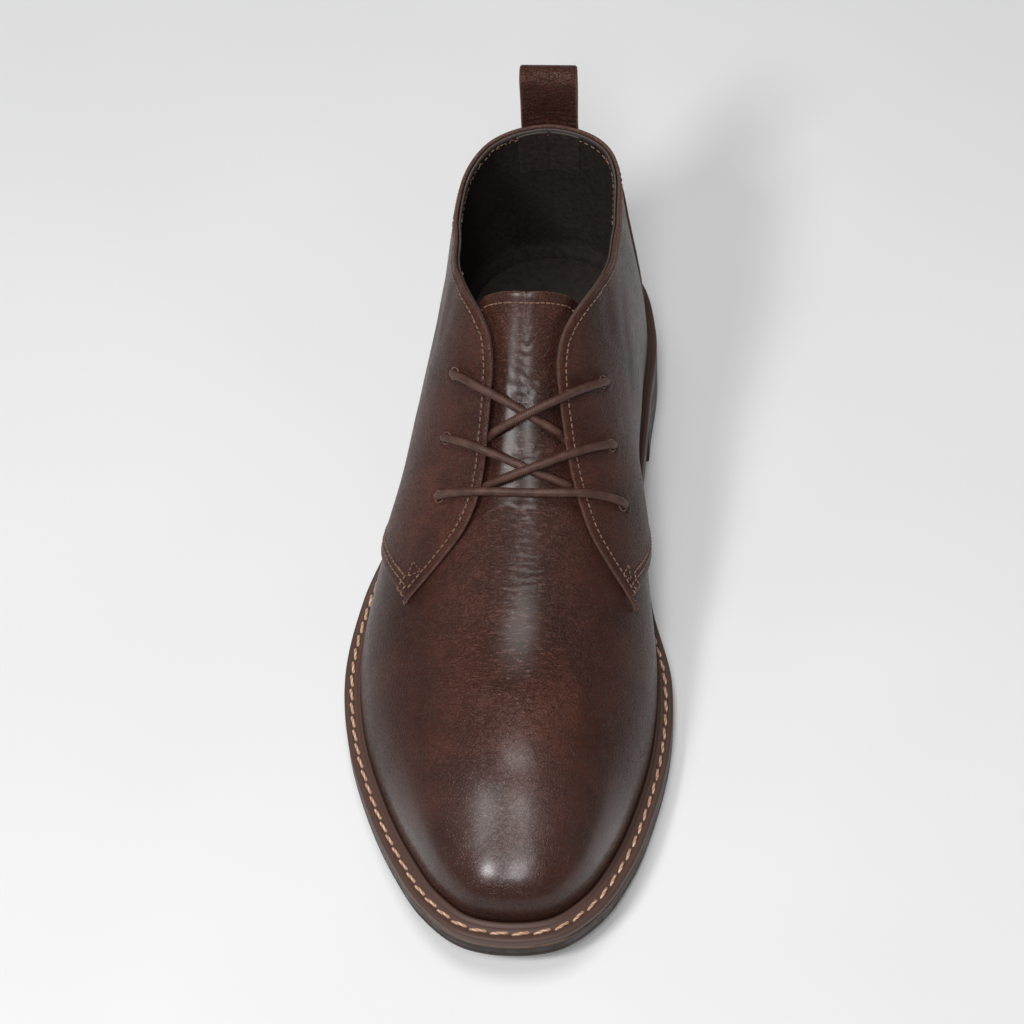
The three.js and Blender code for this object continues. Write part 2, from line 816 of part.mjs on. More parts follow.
// Outer face of the quarters behind the heel, at a distance across from the middle and a height
function backAt(across, height) {
  const place = (turn) => {
    let low = 0;
    let high = 1;
    for (let i = 0; i < searchSteps; i += 1) {
      const middle = (low + high) / 2;
      if (last(turn, middle)[2] < height) low = middle;
      else high = middle;
    }
    return outwards(turn, low, quarterWall);
  };
  let low = -backReach;
  let high = backReach;
  for (let i = 0; i < searchSteps; i += 1) {
    const middle = (low + high) / 2;
    if (place(wrapTurn(1 + middle))[0] > axisX + across) low = middle;
    else high = middle;
  }
  return place(wrapTurn(1 + low))[1];
}

// Section of the pull loop: a strap doubled below the collar and rolled over above it
function loopSection() {
  const roll = loopGap / 2 + loopLeather;
  const crown = loopRise - roll;
  const belly = loopRise / 4;
  const tail = steps(0, -loopTail, 3);
  const shape = new THREE.Shape();
  shape.moveTo(0, 0);
  tail.slice(1).forEach((height) => shape.lineTo(0, height));
  [...tail].reverse().forEach((height) => shape.lineTo(2 * loopLeather, height));
  shape.bezierCurveTo(2 * loopLeather, belly, 2 * roll, belly, 2 * roll, crown);
  shape.absarc(roll, crown, roll, 0, Math.PI, false);
  const hole = new THREE.Path();
  const inner = 2 * roll - loopLeather;
  hole.moveTo(loopLeather, loopSeam);
  hole.lineTo(loopLeather, crown);
  hole.absarc(roll, crown, loopGap / 2, Math.PI, 0, true);
  const slit = loopLeather + gap;
  hole.bezierCurveTo(inner, belly + loopSeam, slit, belly + loopSeam, slit, loopSeam);
  shape.holes.push(hole);
  return shape;
}

// The pull loop follows the curved back of the collar and straightens towards its top
function pullLoopSolid() {
  const options = { depth: loopWidth, steps: 6, curveSegments: 6, bevelEnabled: false };
  const loop = new THREE.ExtrudeGeometry(loopSection(), options);
  const collar = last(1, atCollar(1))[2];
  const straight = backAt(loopOffset, collar);
  const place = loop.getAttribute('position');
  for (let i = 0; i < place.count; i += 1) {
    const across = loopOffset + place.getZ(i) - loopWidth / 2;
    const height = place.getY(i);
    const back = backAt(across, collar + Math.min(height, 0));
    const share = smoothStep(height / (loopRise / 2));
    const y = back + (straight - back) * share + gap + place.getX(i);
    place.setXYZ(i, axisX + across, y, collar + height);
  }
  return solidOf(loop);
}

// A round lace along places [turn, distance from the ridge, height]
function laceAlong(places) {
  const radius = laceDiameter / 2;
  const points = places.map(([turn, far, height]) => outwards(turn, fromRidge(turn, far), height));
  const rings = points.map((point, i) => {
    const [turn, far] = places[i];
    const before = points[Math.max(i - 1, 0)];
    const after = points[Math.min(i + 1, points.length - 1)];
    const along = new THREE.Vector3(...after).sub(new THREE.Vector3(...before)).normalize();
    const up = new THREE.Vector3(...normalAt(turn, fromRidge(turn, far)));
    const side = new THREE.Vector3().crossVectors(along, up).normalize();
    up.crossVectors(side, along);
    return steps(0, 2 * Math.PI, laceSides).slice(0, -1).map((angle) => {
      const a = radius * Math.cos(angle);
      const b = radius * Math.sin(angle);
      const around = up.clone().multiplyScalar(a).addScaledVector(side, b);
      return around.add(new THREE.Vector3(...point)).toArray();
    });
  });
  return plateThrough(rings);
}

// Heights of the lace's middle line over the quarters and over the tongue
const laceOver = quarterWall + gap + laceDiameter / 2;
const laceLow = gap + laceDiameter / 2 - tongueDrop;

// A taut lace cuts straight over the ridge, so it lies further forward there than its rib
const bowAt = (across, far) => laceBow * smoothStep(1 - Math.abs(across) / far);

// One run of a crossing: from its eyelet over the tongue to the edge of the other facing
function laceRun(side, row, meets, lift) {
  const start = eyeletFar(row, side);
  const end = facing(meets).fromRidge * ballWidth - laceStop;
  return laceAlong(steps(0, 1, laceParts).map((share) => {
    const across = start - (start + end) * share;
    const around = row.around + (meets - row.around) * share - bowAt(across, start);
    const edge = facing(around).fromRidge * ballWidth;
    const low = laceLow + lift * smoothStep(1 + across / end);
    const height = low + (laceOver - low) * (1 - smoothStep((edge - across) / laceDrop));
    return [side * Math.sign(across || 1) * around, Math.abs(across), height];
  }));
}

// A crossing: the run from the inner side passes over the run from the outer side
function crossingSolid({ row, meets }) {
  const eyelets = eyeletRows[row];
  return laceRun(-1, eyelets, meets, 0).add(laceRun(1, eyelets, meets, laceJoin * laceDiameter));
}

// The bar: straight over from eyelet to eyelet
function barSolid() {
  const row = eyeletRows[0];
  const start = -eyeletFar(row, -1);
  const end = eyeletFar(row, 1);
  const edge = facing(row.around).fromRidge * ballWidth;
  return laceAlong(steps(start, end, laceParts).map((across) => {
    const height = laceLow + (laceOver - laceLow) * (1 - smoothStep((edge - Math.abs(across)) / edge));
    return [Math.sign(across || 1) * (row.around - bowAt(across, end)), Math.abs(across), height];
  }));
}

function meshOf(name, body, colour, roughness) {
  const data = body.getMesh();
  const geometry = new THREE.BufferGeometry();
  geometry.setAttribute('position', new THREE.BufferAttribute(new Float32Array(data.vertProperties), 3));
  geometry.setIndex(new THREE.BufferAttribute(new Uint32Array(data.triVerts), 1));
  geometry.computeVertexNormals();
  const material = new THREE.MeshStandardMaterial({ color: colour, roughness, metalness: 0 });
  const mesh = new THREE.Mesh(geometry, material);
  mesh.name = name;
  return mesh;
}

const boot = new THREE.Group();
boot.add(meshOf('outsole', outsoleSolid(), 0x2b1a14, 0.7));
boot.add(meshOf('heel', heelSolid(), 0x261711, 0.7));
boot.add(meshOf('welt', weltSolid(), 0x4a2a1e, 0.55));
boot.add(meshOf('insole', insoleSolid(), 0x1a1412, 0.8));
boot.add(meshOf('upper', upperSolid(), 0x4b2a20, 0.5));
boot.add(meshOf('tongue', tongueSolid(), 0x4b2a20, 0.5));
boot.add(meshOf('pull_loop', pullLoopSolid(), 0x40231a, 0.5));
boot.add(meshOf('lace_bar', barSolid(), 0x2e1a13, 0.6));
crossingRows.forEach((row) => boot.add(meshOf(row.name, crossingSolid(row), 0x2e1a13, 0.6)));

export default boot;
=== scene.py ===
import math

import bpy
import numpy as np
from mathutils import Matrix, Vector


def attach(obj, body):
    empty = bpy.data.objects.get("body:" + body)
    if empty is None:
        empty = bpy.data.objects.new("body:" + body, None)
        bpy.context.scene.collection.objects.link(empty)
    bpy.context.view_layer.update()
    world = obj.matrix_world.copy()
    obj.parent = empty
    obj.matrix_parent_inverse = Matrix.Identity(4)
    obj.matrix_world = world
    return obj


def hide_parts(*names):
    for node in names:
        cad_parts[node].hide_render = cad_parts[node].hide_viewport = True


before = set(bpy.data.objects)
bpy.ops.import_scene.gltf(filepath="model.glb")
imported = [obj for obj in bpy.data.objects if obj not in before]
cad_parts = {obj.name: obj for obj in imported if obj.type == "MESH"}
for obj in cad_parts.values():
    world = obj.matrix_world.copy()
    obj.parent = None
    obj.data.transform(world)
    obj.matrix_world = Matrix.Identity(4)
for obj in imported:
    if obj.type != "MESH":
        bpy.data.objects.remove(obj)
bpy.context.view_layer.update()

bl_info = {
    "name": "Chukka boot",
    "version": (1, 0, 0),
    "blender": (4, 5, 0),
    "location": "View3D > Sidebar > Boot",
    "description": "Leather, stitching, lace and sole of a chukka boot over its packed solids",
    "category": "Add Mesh",
}

MM = 0.001

# Sizes shared with the solids, in millimetres
SOLE_LENGTH = 290.0
BALL_WIDTH = 115.0
OUTSOLE_THICKNESS = 7.2
WELT_THICKNESS = 3.3
HEEL_HEIGHT = 17.0
TOE_SPRING = 9.0
WELT_REACH = 8.0
INSOLE_THICKNESS = 4.6
HEEL_LENGTH = 80.0
INSTEP_RISE = 95.0
COLLAR_RISE = 82.5
LINING_WALL = 1.4
LINING_OUT = 0.3
EDGE_WALL = 1.35
QUARTER_WALL = 1.8
COUNTER_WALL = 0.8
TONGUE_WALL = 1.6
TONGUE_DROP = 1.2
EYELET_INSET = 16.0
EYELET_SEEN = 3.5
EYELET_RIM = 2.0
LOOP_WIDTH = 20.0
LOOP_RISE = 24.0
LOOP_LEATHER = 1.8
LOOP_GAP = 5.2
LOOP_TAIL = 17.0
LOOP_OFFSET = 1.0
GAP = 0.3
WELT_SEWN = 0.65

SPRING_END = 0.30
ARCH_START = 0.43
ARCH_END = 0.80
RIDGE_END = 0.78
QUARTER_TIP = 0.425
THROAT_START = 0.485
TONGUE_TOP = 0.678
COUNTER_TOP = 0.52
COLLAR_FROM = 0.64
TOE_OFF = -0.028
TONGUE_DIP = 0.008
FAIR_FROM = 0.655
FAIR_TO = 0.765

# at, lateral, medial
OUTLINE_ROWS = [
    (0.012, 0.179, 0.121), (0.050, 0.290, 0.228), (0.110, 0.386, 0.310), (0.190, 0.478, 0.373),
    (0.280, 0.549, 0.414), (0.375, 0.576, 0.414), (0.480, 0.540, 0.348), (0.600, 0.430, 0.307),
    (0.740, 0.362, 0.322), (0.860, 0.337, 0.334), (0.945, 0.272, 0.272), (0.987, 0.148, 0.150),
]
# around, lateral, medial
REACH_ROWS = [
    (0.00, 1.00, 1.00), (0.12, 0.92, 0.92), (0.24, 0.82, 0.80), (0.40, 0.77, 0.74),
    (0.52, 0.78, 0.66), (0.64, 0.62, 0.60), (0.80, 0.66, 0.62), (1.00, 0.70, 0.70),
]
# at, up, off
RIDGE_ROWS = [
    (0.100, 0.275, 0.000), (0.172, 0.385, -0.020), (0.260, 0.440, -0.028), (0.345, 0.485, -0.030),
    (0.415, 0.556, -0.022), (0.483, 0.655, -0.014), (0.552, 0.756, -0.024), (0.620, 0.868, -0.030),
    (0.683, 1.000, -0.026), (0.776, 1.300, -0.020),
]
# around, meets, outer, inner, rise, side, front, fall
RIB_ROWS = [
    (0.000, 0.124, 0.005, 0.005, 0.18, 0.00, 0.16, 0.00),
    (0.080, 0.126, 0.009, 0.009, 0.18, 0.09, 0.13, 0.00),
    (0.160, 0.142, 0.011, 0.011, 0.19, 0.17, 0.07, 0.00),
    (0.240, 0.190, 0.013, 0.016, 0.20, 0.22, 0.03, 0.00),
    (0.320, 0.276, 0.018, 0.026, 0.22, 0.25, 0.00, 0.00),
    (0.400, 0.366, 0.024, 0.052, 0.25, 0.25, 0.00, 0.00),
    (0.480, 0.455, 0.054, 0.126, 0.32, 0.22, 0.00, 0.00),
    (0.550, 0.541, 0.082, 0.136, 0.40, 0.20, 0.00, 0.00),
    (0.620, 0.621, 0.088, 0.084, 0.47, 0.18, 0.00, 0.00),
    (0.700, 0.702, 0.064, 0.048, 0.52, 0.17, 0.00, 0.00),
    (0.780, 0.776, 0.038, 0.002, 0.52, 0.15, 0.00, 0.10),
    (0.870, 0.776, 0.016, -0.022, 0.48, 0.02, -0.03, 0.45),
    (0.935, 0.776, 0.008, -0.010, 0.42, 0.02, -0.03, 0.50),
    (1.000, 0.776, 0.010, 0.010, 0.38, 0.00, -0.03, 0.55),
]
# around, at, out, off, up
TOP_ROWS = [
    (0.780, 0.776, 0.000, -0.020, 1.300), (0.820, 0.800, 0.113, -0.022, 1.300),
    (0.870, 0.842, 0.202, -0.012, 1.310), (0.935, 0.905, 0.164, 0.008, 1.320),
    (1.000, 0.931, 0.000, 0.010, 1.320),
]
# at, up
COLLAR_ROWS = [
    (0.640, 1.020), (0.680, 1.010), (0.710, 0.960), (0.745, 0.910), (0.790, 0.875),
    (0.835, 0.870), (0.880, 0.900), (0.920, 0.945), (0.960, 1.000),
]
# around, from the ridge, lower
FACING_ROWS = [
    (0.425, 0.375, 0.520), (0.440, 0.320, 0.470), (0.460, 0.255, 0.400), (0.480, 0.200, 0.330),
    (0.505, 0.158, 0.250), (0.535, 0.130, 0.160), (0.565, 0.116, 0.070), (0.590, 0.106, 0.000),
    (0.620, 0.103, 0.000), (0.642, 0.118, 0.000), (0.660, 0.150, 0.000), (0.678, 0.203, 0.000),
    (0.694, 0.258, 0.000), (0.710, 0.318, 0.000),
]
# around, lateral, medial
EYELET_ROWS = [(0.517, 1.00, 1.22), (0.566, 1.04, 1.24), (0.621, 1.00, 1.24)]
# row of eyelets, place where the crossing meets the other facing
CROSSING_ROWS = [(1, 0.521), (2, 0.563)]
# up, around
COUNTER_ROWS = [(0.00, 0.845), (0.20, 0.850), (0.40, 0.868), (0.52, 0.905)]

# Creases on the vamp and tongue: place round the foot line and share of the rib from the ridge
# (outer side negative) at start, middle and end, then width and depth
VAMP_CREASES = [
    (0.372, -0.480, 0.352, -0.300, 0.330, -0.100, 1.10, 0.17),
    (0.392, -0.420, 0.380, -0.240, 0.364, -0.020, 1.00, 0.15),
    (0.345, -0.400, 0.322, -0.200, 0.310, 0.020, 1.10, 0.14),
    (0.410, -0.300, 0.402, -0.160, 0.396, 0.030, 0.90, 0.14),
    (0.312, -0.320, 0.298, -0.160, 0.286, 0.040, 1.00, 0.11),
    (0.338, 0.400, 0.326, 0.220, 0.322, 0.000, 1.10, 0.14),
    (0.366, 0.420, 0.358, 0.240, 0.352, -0.020, 1.00, 0.14),
    (0.398, 0.340, 0.386, 0.180, 0.384, -0.040, 0.90, 0.13),
    (0.306, 0.300, 0.296, 0.140, 0.292, -0.040, 1.00, 0.10),
    (0.430, -0.200, 0.422, -0.070, 0.424, 0.060, 1.00, 0.14),
    (0.446, 0.160, 0.440, 0.050, 0.444, -0.070, 0.90, 0.13),
    (0.462, -0.160, 0.456, -0.030, 0.455, 0.080, 1.00, 0.13),
    (0.598, -0.100, 0.584, -0.010, 0.604, 0.080, 1.30, 0.26),
    (0.608, -0.070, 0.600, 0.010, 0.590, 0.100, 1.10, 0.20),
    (0.572, -0.080, 0.576, -0.010, 0.570, 0.090, 1.20, 0.17),
    (0.545, -0.090, 0.538, 0.010, 0.552, 0.100, 1.20, 0.17),
    (0.634, -0.060, 0.626, 0.010, 0.636, 0.070, 1.10, 0.15),
    (0.500, -0.120, 0.494, -0.010, 0.500, 0.110, 1.20, 0.18),
    (0.482, -0.130, 0.478, 0.000, 0.472, 0.120, 1.00, 0.14),
]
# The fainter lines that go with each: shift round the foot line, share of the length, share of the depth
ECHOES = [(0.0, 1.0, 1.0), (0.0075, 0.72, 0.55), (-0.0085, 0.64, 0.60), (0.0145, 0.45, 0.35)]
# Creases on the quarters
QUARTER_CREASES = [
    (0.660, -0.580, 0.700, -0.450, 0.760, -0.380, 4.50, 0.40),
    (0.640, -0.700, 0.690, -0.600, 0.750, -0.560, 5.00, 0.35),
    (0.600, -0.450, 0.630, -0.300, 0.660, -0.200, 4.00, 0.25),
    (0.660, 0.560, 0.700, 0.440, 0.760, 0.400, 4.50, 0.40),
    (0.640, 0.700, 0.690, 0.600, 0.760, 0.580, 5.00, 0.35),
    (0.600, 0.440, 0.630, 0.300, 0.660, 0.180, 4.00, 0.25),
    (0.800, -0.380, 0.860, -0.320, 0.930, -0.340, 4.00, 0.22),
    (0.800, 0.400, 0.860, 0.340, 0.930, 0.340, 4.00, 0.22),
]


def through(rows, names):
    """A smooth curve through the rows of a table, whose first column is the place."""
    table = np.array(rows, float)
    place = table[:, 0]
    end = len(place) - 1
    step = np.diff(table, axis=0) / np.diff(place)[:, None]
    slopes = np.zeros_like(table)
    slopes[0] = step[0]
    slopes[end] = step[-1]
    for i in range(1, end):
        before = place[i] - place[i - 1]
        after = place[i + 1] - place[i]
        slopes[i] = (step[i - 1] * after + step[i] * before) / (before + after)

    def at(where):
        where = np.clip(np.asarray(where, float), place[0], place[-1])
        i = np.clip(np.searchsorted(place, where, side="left") - 1, 0, end - 1)
        width = place[i + 1] - place[i]
        t = (where - place[i]) / width
        found = {}
        for k, name in enumerate(names, 1):
            a = table[i, k]
            b = table[i + 1, k]
            ta = slopes[i, k] * width
            tb = slopes[i + 1, k] * width
            found[name] = a + t * (ta + t * (3 * (b - a) - 2 * ta - tb + t * (2 * (a - b) + ta + tb)))
        return found

    return at


def mirrored(rows, odd):
    """The table carried on past both ends by its mirror image; odd columns change sign."""
    def flip(row, place):
        copy = list(row)
        copy[0] = place
        for k in odd:
            copy[k] = -copy[k]
        return tuple(copy)

    start = rows[0][0]
    end = rows[-1][0]
    before = [flip(row, 2 * start - row[0]) for row in reversed(rows[1:3])]
    after = [flip(row, 2 * end - row[0]) for row in reversed(rows[-3:-1])]
    return before + list(rows) + after


def smooth_step(x):
    t = np.clip(x, 0, 1)
    return t * t * (3 - 2 * t)


def y_at(share):
    return (share - 0.5) * SOLE_LENGTH


def share_at(y):
    return y / SOLE_LENGTH + 0.5


def underside(y):
    share = share_at(y)
    spring = np.maximum(SPRING_END - share, 0) / SPRING_END
    arch = (share - ARCH_START) / (ARCH_END - ARCH_START)
    return TOE_SPRING * spring * spring + HEEL_HEIGHT * smooth_step(arch)


def outsole_top(y):
    return underside(y) + OUTSOLE_THICKNESS


def welt_bottom(y):
    return outsole_top(y) + GAP


def seat(y):
    return welt_bottom(y) + WELT_THICKNESS


def closed_outline():
    points = [(TOE_OFF * BALL_WIDTH, y_at(0))]
    points += [(row[2] * BALL_WIDTH, y_at(row[0])) for row in OUTLINE_ROWS]
    heel = len(points)
    points.append((0.0, y_at(1)))
    points += [(-row[1] * BALL_WIDTH, y_at(row[0])) for row in reversed(OUTLINE_ROWS)]
    count = len(points)
    run = [0.0]
    for i in range(count):
        ax, ay = points[i]
        bx, by = points[(i + 1) % count]
        run.append(run[i] + math.hypot(bx - ax, by - ay))
    whole = run[count]
    rows = []
    for i in range(-2, count + 3):
        turn = i // count
        k = i - turn * count
        rows.append((run[k] + turn * whole, points[k][0], points[k][1]))
    return through(rows, ["x", "y"]), whole, run[heel]


OUTLINE, WHOLE_RUN, HEEL_RUN = closed_outline()
_sample = OUTLINE(np.arange(401) / 400 * WHOLE_RUN)["x"]
AXIS_X = -(_sample.min() + _sample.max()) / 2
REACH = through(mirrored(REACH_ROWS, []), ["lateral", "medial"])
RIDGE = through(RIDGE_ROWS, ["up", "off"])
RIB = through(mirrored(RIB_ROWS, [5]), ["meets", "outer", "inner", "rise", "side", "front", "fall"])
TOP = through(TOP_ROWS + mirrored(TOP_ROWS, [2])[-2:], ["at", "out", "off", "up"])
COLLAR = through(COLLAR_ROWS, ["up"])
FACING = through(FACING_ROWS, ["far", "lower"])
COUNTER = through(COUNTER_ROWS, ["around"])


def run_at(turn):
    turn = np.asarray(turn, float)
    return np.where(turn >= 0, turn * HEEL_RUN, WHOLE_RUN + turn * (WHOLE_RUN - HEEL_RUN))


def outline_point(turn, inset):
    """Point of the sole's outline moved inwards, with the outward direction in plan."""
    run = run_at(turn)
    here = OUTLINE(run)
    ahead = OUTLINE((run + 0.5) % WHOLE_RUN)
    behind = OUTLINE((run - 0.5) % WHOLE_RUN)
    dx = ahead["x"] - behind["x"]
    dy = ahead["y"] - behind["y"]
    size = np.hypot(dx, dy)
    nx = dy / size
    ny = -dx / size
    return AXIS_X + here["x"] - nx * inset, here["y"] - ny * inset, nx, ny


def reach_at(turn):
    row = REACH(np.abs(turn))
    return WELT_REACH * np.where(np.asarray(turn) < 0, row["lateral"], row["medial"])


def ridge_point(share):
    row = RIDGE(share)
    y = y_at(share)
    return np.stack([AXIS_X + row["off"] * BALL_WIDTH, y, seat(y) + row["up"] * INSTEP_RISE], -1)


def ribs(turn):
    """The ribs, with the corner at the end of the ridge eased over its neighbours."""
    turn = np.asarray(turn, float)
    sharp = sharp_ribs(turn)
    ease = np.exp(-((np.abs(turn) - RIDGE_END) / 0.04) ** 4)[..., None, None]
    if not np.any(ease > 0.01):
        return sharp
    total = np.zeros_like(sharp)
    weights = np.exp(-(np.arange(-3, 4) / 1.8) ** 2)
    for k, weight in zip(range(-3, 4), weights / weights.sum()):
        total += weight * sharp_ribs(wrap_turn(turn + 0.011 * k))
    return sharp + (total - sharp) * ease


def sharp_ribs(turn):
    """The four control points of the rib at each turn round the foot line."""
    turn = np.asarray(turn, float)
    around = np.abs(turn)
    side = np.where(turn < 0, -1.0, 1.0)
    row = RIB(around)
    x, y, nx, ny = outline_point(turn, reach_at(turn))
    lean = BALL_WIDTH * np.where(turn < 0, row["outer"], row["inner"])
    z = seat(y) + GAP
    start = np.stack([x, y, z], -1)
    low = np.stack([x + nx * lean, y + ny * lean, z + row["rise"] * INSTEP_RISE], -1)
    ridge = ridge_point(row["meets"])
    a = ridge_point(row["meets"] - 0.002)
    b = ridge_point(row["meets"] + 0.002)
    slope = (b[..., 2] - a[..., 2]) / (b[..., 1] - a[..., 1])
    end = TOP(around)
    ey = y_at(end["at"])
    ex = AXIS_X + (side * end["out"] + end["off"]) * BALL_WIDTH
    open_top = np.stack([ex, ey, seat(ey) + end["up"] * INSTEP_RISE], -1)
    on_ridge = around <= RIDGE_END
    top = np.where(on_ridge[..., None], ridge, open_top)
    slope = np.where(on_ridge, slope, 0.0)
    front = row["front"] * BALL_WIDTH
    high = np.stack([
        top[..., 0] + side * row["side"] * BALL_WIDTH,
        top[..., 1] - front,
        top[..., 2] - slope * front - row["fall"] * INSTEP_RISE,
    ], -1)
    return np.stack([start, low, high, top], -2)


def last(turn, v):
    """Outer surface of the vamp at turns (...,) and rises (...,) of the same shape."""
    turn, v = np.broadcast_arrays(np.asarray(turn, float), np.asarray(v, float))
    if turn.ndim == 2 and turn.shape[1] > 1 and np.all(turn[:, :1] == turn):
        p = ribs(turn[:, 0])[:, None]
    else:
        p = ribs(turn)
    w = 1 - v
    shares = np.stack([w * w * w, 3 * w * w * v, 3 * w * v * v, v * v * v], -1)
    return (shares[..., None] * p).sum(-2)


def wrap_turn(turn):
    turn = np.where(turn > 1, turn - 2, turn)
    return np.where(turn < -1, turn + 2, turn)


def normal_at(turn, v):
    turn, v = np.broadcast_arrays(np.asarray(turn, float), np.asarray(v, float))
    mid = np.minimum(v, 0.985)
    p = last(wrap_turn(turn + 0.004), mid) - last(wrap_turn(turn - 0.004), mid)
    q = last(turn, np.minimum(mid + 0.01, 1)) - last(turn, np.maximum(mid - 0.01, 0))
    n = np.cross(p, q)
    return n / np.linalg.norm(n, axis=-1, keepdims=True)


def rib_run(turn, count=160):
    """Rises along each rib and their distances from the foot."""
    v = np.linspace(0, 1, count + 1)
    points = last(np.repeat(np.atleast_1d(turn)[:, None], count + 1, 1), v[None, :])
    run = np.linalg.norm(np.diff(points, axis=1), axis=2).cumsum(1)
    return v, np.hstack([np.zeros((len(points), 1)), run]), points


def rise_at(turn, run):
    """Rises where the ribs have the given distances from the foot."""
    turn = np.atleast_1d(turn)
    v, runs, _ = rib_run(turn)
    run = np.broadcast_to(run, turn.shape)
    return np.array([np.interp(r, runs[i], v) for i, r in enumerate(run)])


def sharp_top(turn):
    """Distance of the quarters' top edge from the foot, along each rib, before it is faired."""
    around = np.abs(turn)
    v, runs, points = rib_run(turn)
    over = points[..., 2] - seat(y_at(1.0)) - COLLAR(share_at(points[..., 1]))["up"] * COLLAR_RISE
    found = np.empty(len(turn))
    for i in range(len(turn)):
        found[i] = runs[i, -1]
        if around[i] > COLLAR_FROM and over[i, -1] > 0:
            k = len(v) - 1
            while k > 1 and over[i, k - 1] > 0:
                k -= 1
            a, b = over[i, k - 1], over[i, k]
            found[i] = runs[i, k - 1] + (runs[i, k] - runs[i, k - 1]) * (-a) / (b - a)
        if around[i] <= FACING_ROWS[-1][0]:
            found[i] = min(found[i], runs[i, -1] - float(FACING(around[i])["far"]) * BALL_WIDTH)
    return found


def faired_tops():
    """The top edge of either side, with one fair curve from the facing into the collar."""
    around = np.linspace(QUARTER_TIP, 1.0, 576)
    low, high = FAIR_FROM, FAIR_TO
    width = high - low
    t = np.clip((around - low) / width, 0, 1)
    sides = []
    for side in (-1, 1):
        tops = sharp_top(side * around)
        before, start, end, after = np.interp((low - 0.006, low, high, high + 0.006), around, tops)
        lead = (start - before) / 0.006 * width
        tail = (after - end) / 0.006 * width
        fair = ((2 * t ** 3 - 3 * t ** 2 + 1) * start + (t ** 3 - 2 * t ** 2 + t) * lead
                + (3 * t ** 2 - 2 * t ** 3) * end + (t ** 3 - t ** 2) * tail)
        sides.append(np.where((around > low) & (around < high), fair, tops))
    return around, sides[0], sides[1]


TOP_AROUND, TOP_OUTER, TOP_INNER = faired_tops()


def top_run(turn):
    """Distance of the quarters' top edge from the foot, along each rib."""
    turn = np.atleast_1d(np.asarray(turn, float))
    around = np.abs(turn)
    return np.where(turn < 0, np.interp(around, TOP_AROUND, TOP_OUTER), np.interp(around, TOP_AROUND, TOP_INNER))


def foot_run(turn):
    """Distance of the quarters' lower edge from the foot, along each rib."""
    turn = np.atleast_1d(np.asarray(turn, float))
    v, runs, _ = rib_run(turn)
    lower = FACING(np.abs(turn))["lower"]
    return np.array([np.interp(l, v, runs[i]) for i, l in enumerate(lower)])


def closed_turns(start, count):
    """Turns from the inner side's start round the heel to the outer side's."""
    one = np.linspace(start, 1, count)
    return np.concatenate([one, -one[:-1][::-1]])


# Meshes

class Grid:
    """A sheet of points over columns; edges that meet are welded."""

    def __init__(self, points, closed=False, **values):
        n, m = points.shape[:2]
        flat = points.reshape(-1, 3)
        keys = np.round(flat * 1000).astype(np.int64)
        _, first, back = np.unique(keys, axis=0, return_index=True, return_inverse=True)
        back = back.reshape(-1)
        self.points = flat[first]
        self.values = {name: np.asarray(a, float).reshape(-1)[first] for name, a in values.items()}
        i = np.arange(n if closed else n - 1)
        j = np.arange(m - 1)
        i, j = np.meshgrid(i, j, indexing="ij")
        k = (i + 1) % n
        quads = np.stack([i * m + j, k * m + j, k * m + j + 1, i * m + j + 1], -1).reshape(-1, 4)
        quads = back[quads]
        self.faces = tidy_faces(quads)

    def normals(self):
        return vertex_normals(self.points, self.faces)


def tidy_faces(quads):
    """Quads with a pair of equal corners become triangles with the last corner twice."""
    done = []
    a, b, c, d = quads.T
    good = (a != b) & (b != c) & (c != d) & (d != a) & (a != c) & (b != d)
    done.append(quads[good])
    rest = quads[~good]
    for q in rest:
        corners = []
        for p in q:
            if p not in corners:
                corners.append(p)
        if len(corners) == 3:
            done.append(np.array([[corners[0], corners[1], corners[2], corners[2]]]))
    return np.concatenate(done)


def vertex_normals(points, faces):
    p = points[faces]
    n = np.cross(p[:, 2] - p[:, 0], p[:, 3] - p[:, 1])
    total = np.zeros_like(points)
    for k in range(4):
        np.add.at(total, faces[:, k], n)
    size = np.linalg.norm(total, axis=1, keepdims=True)
    return total / np.maximum(size, 1e-12)


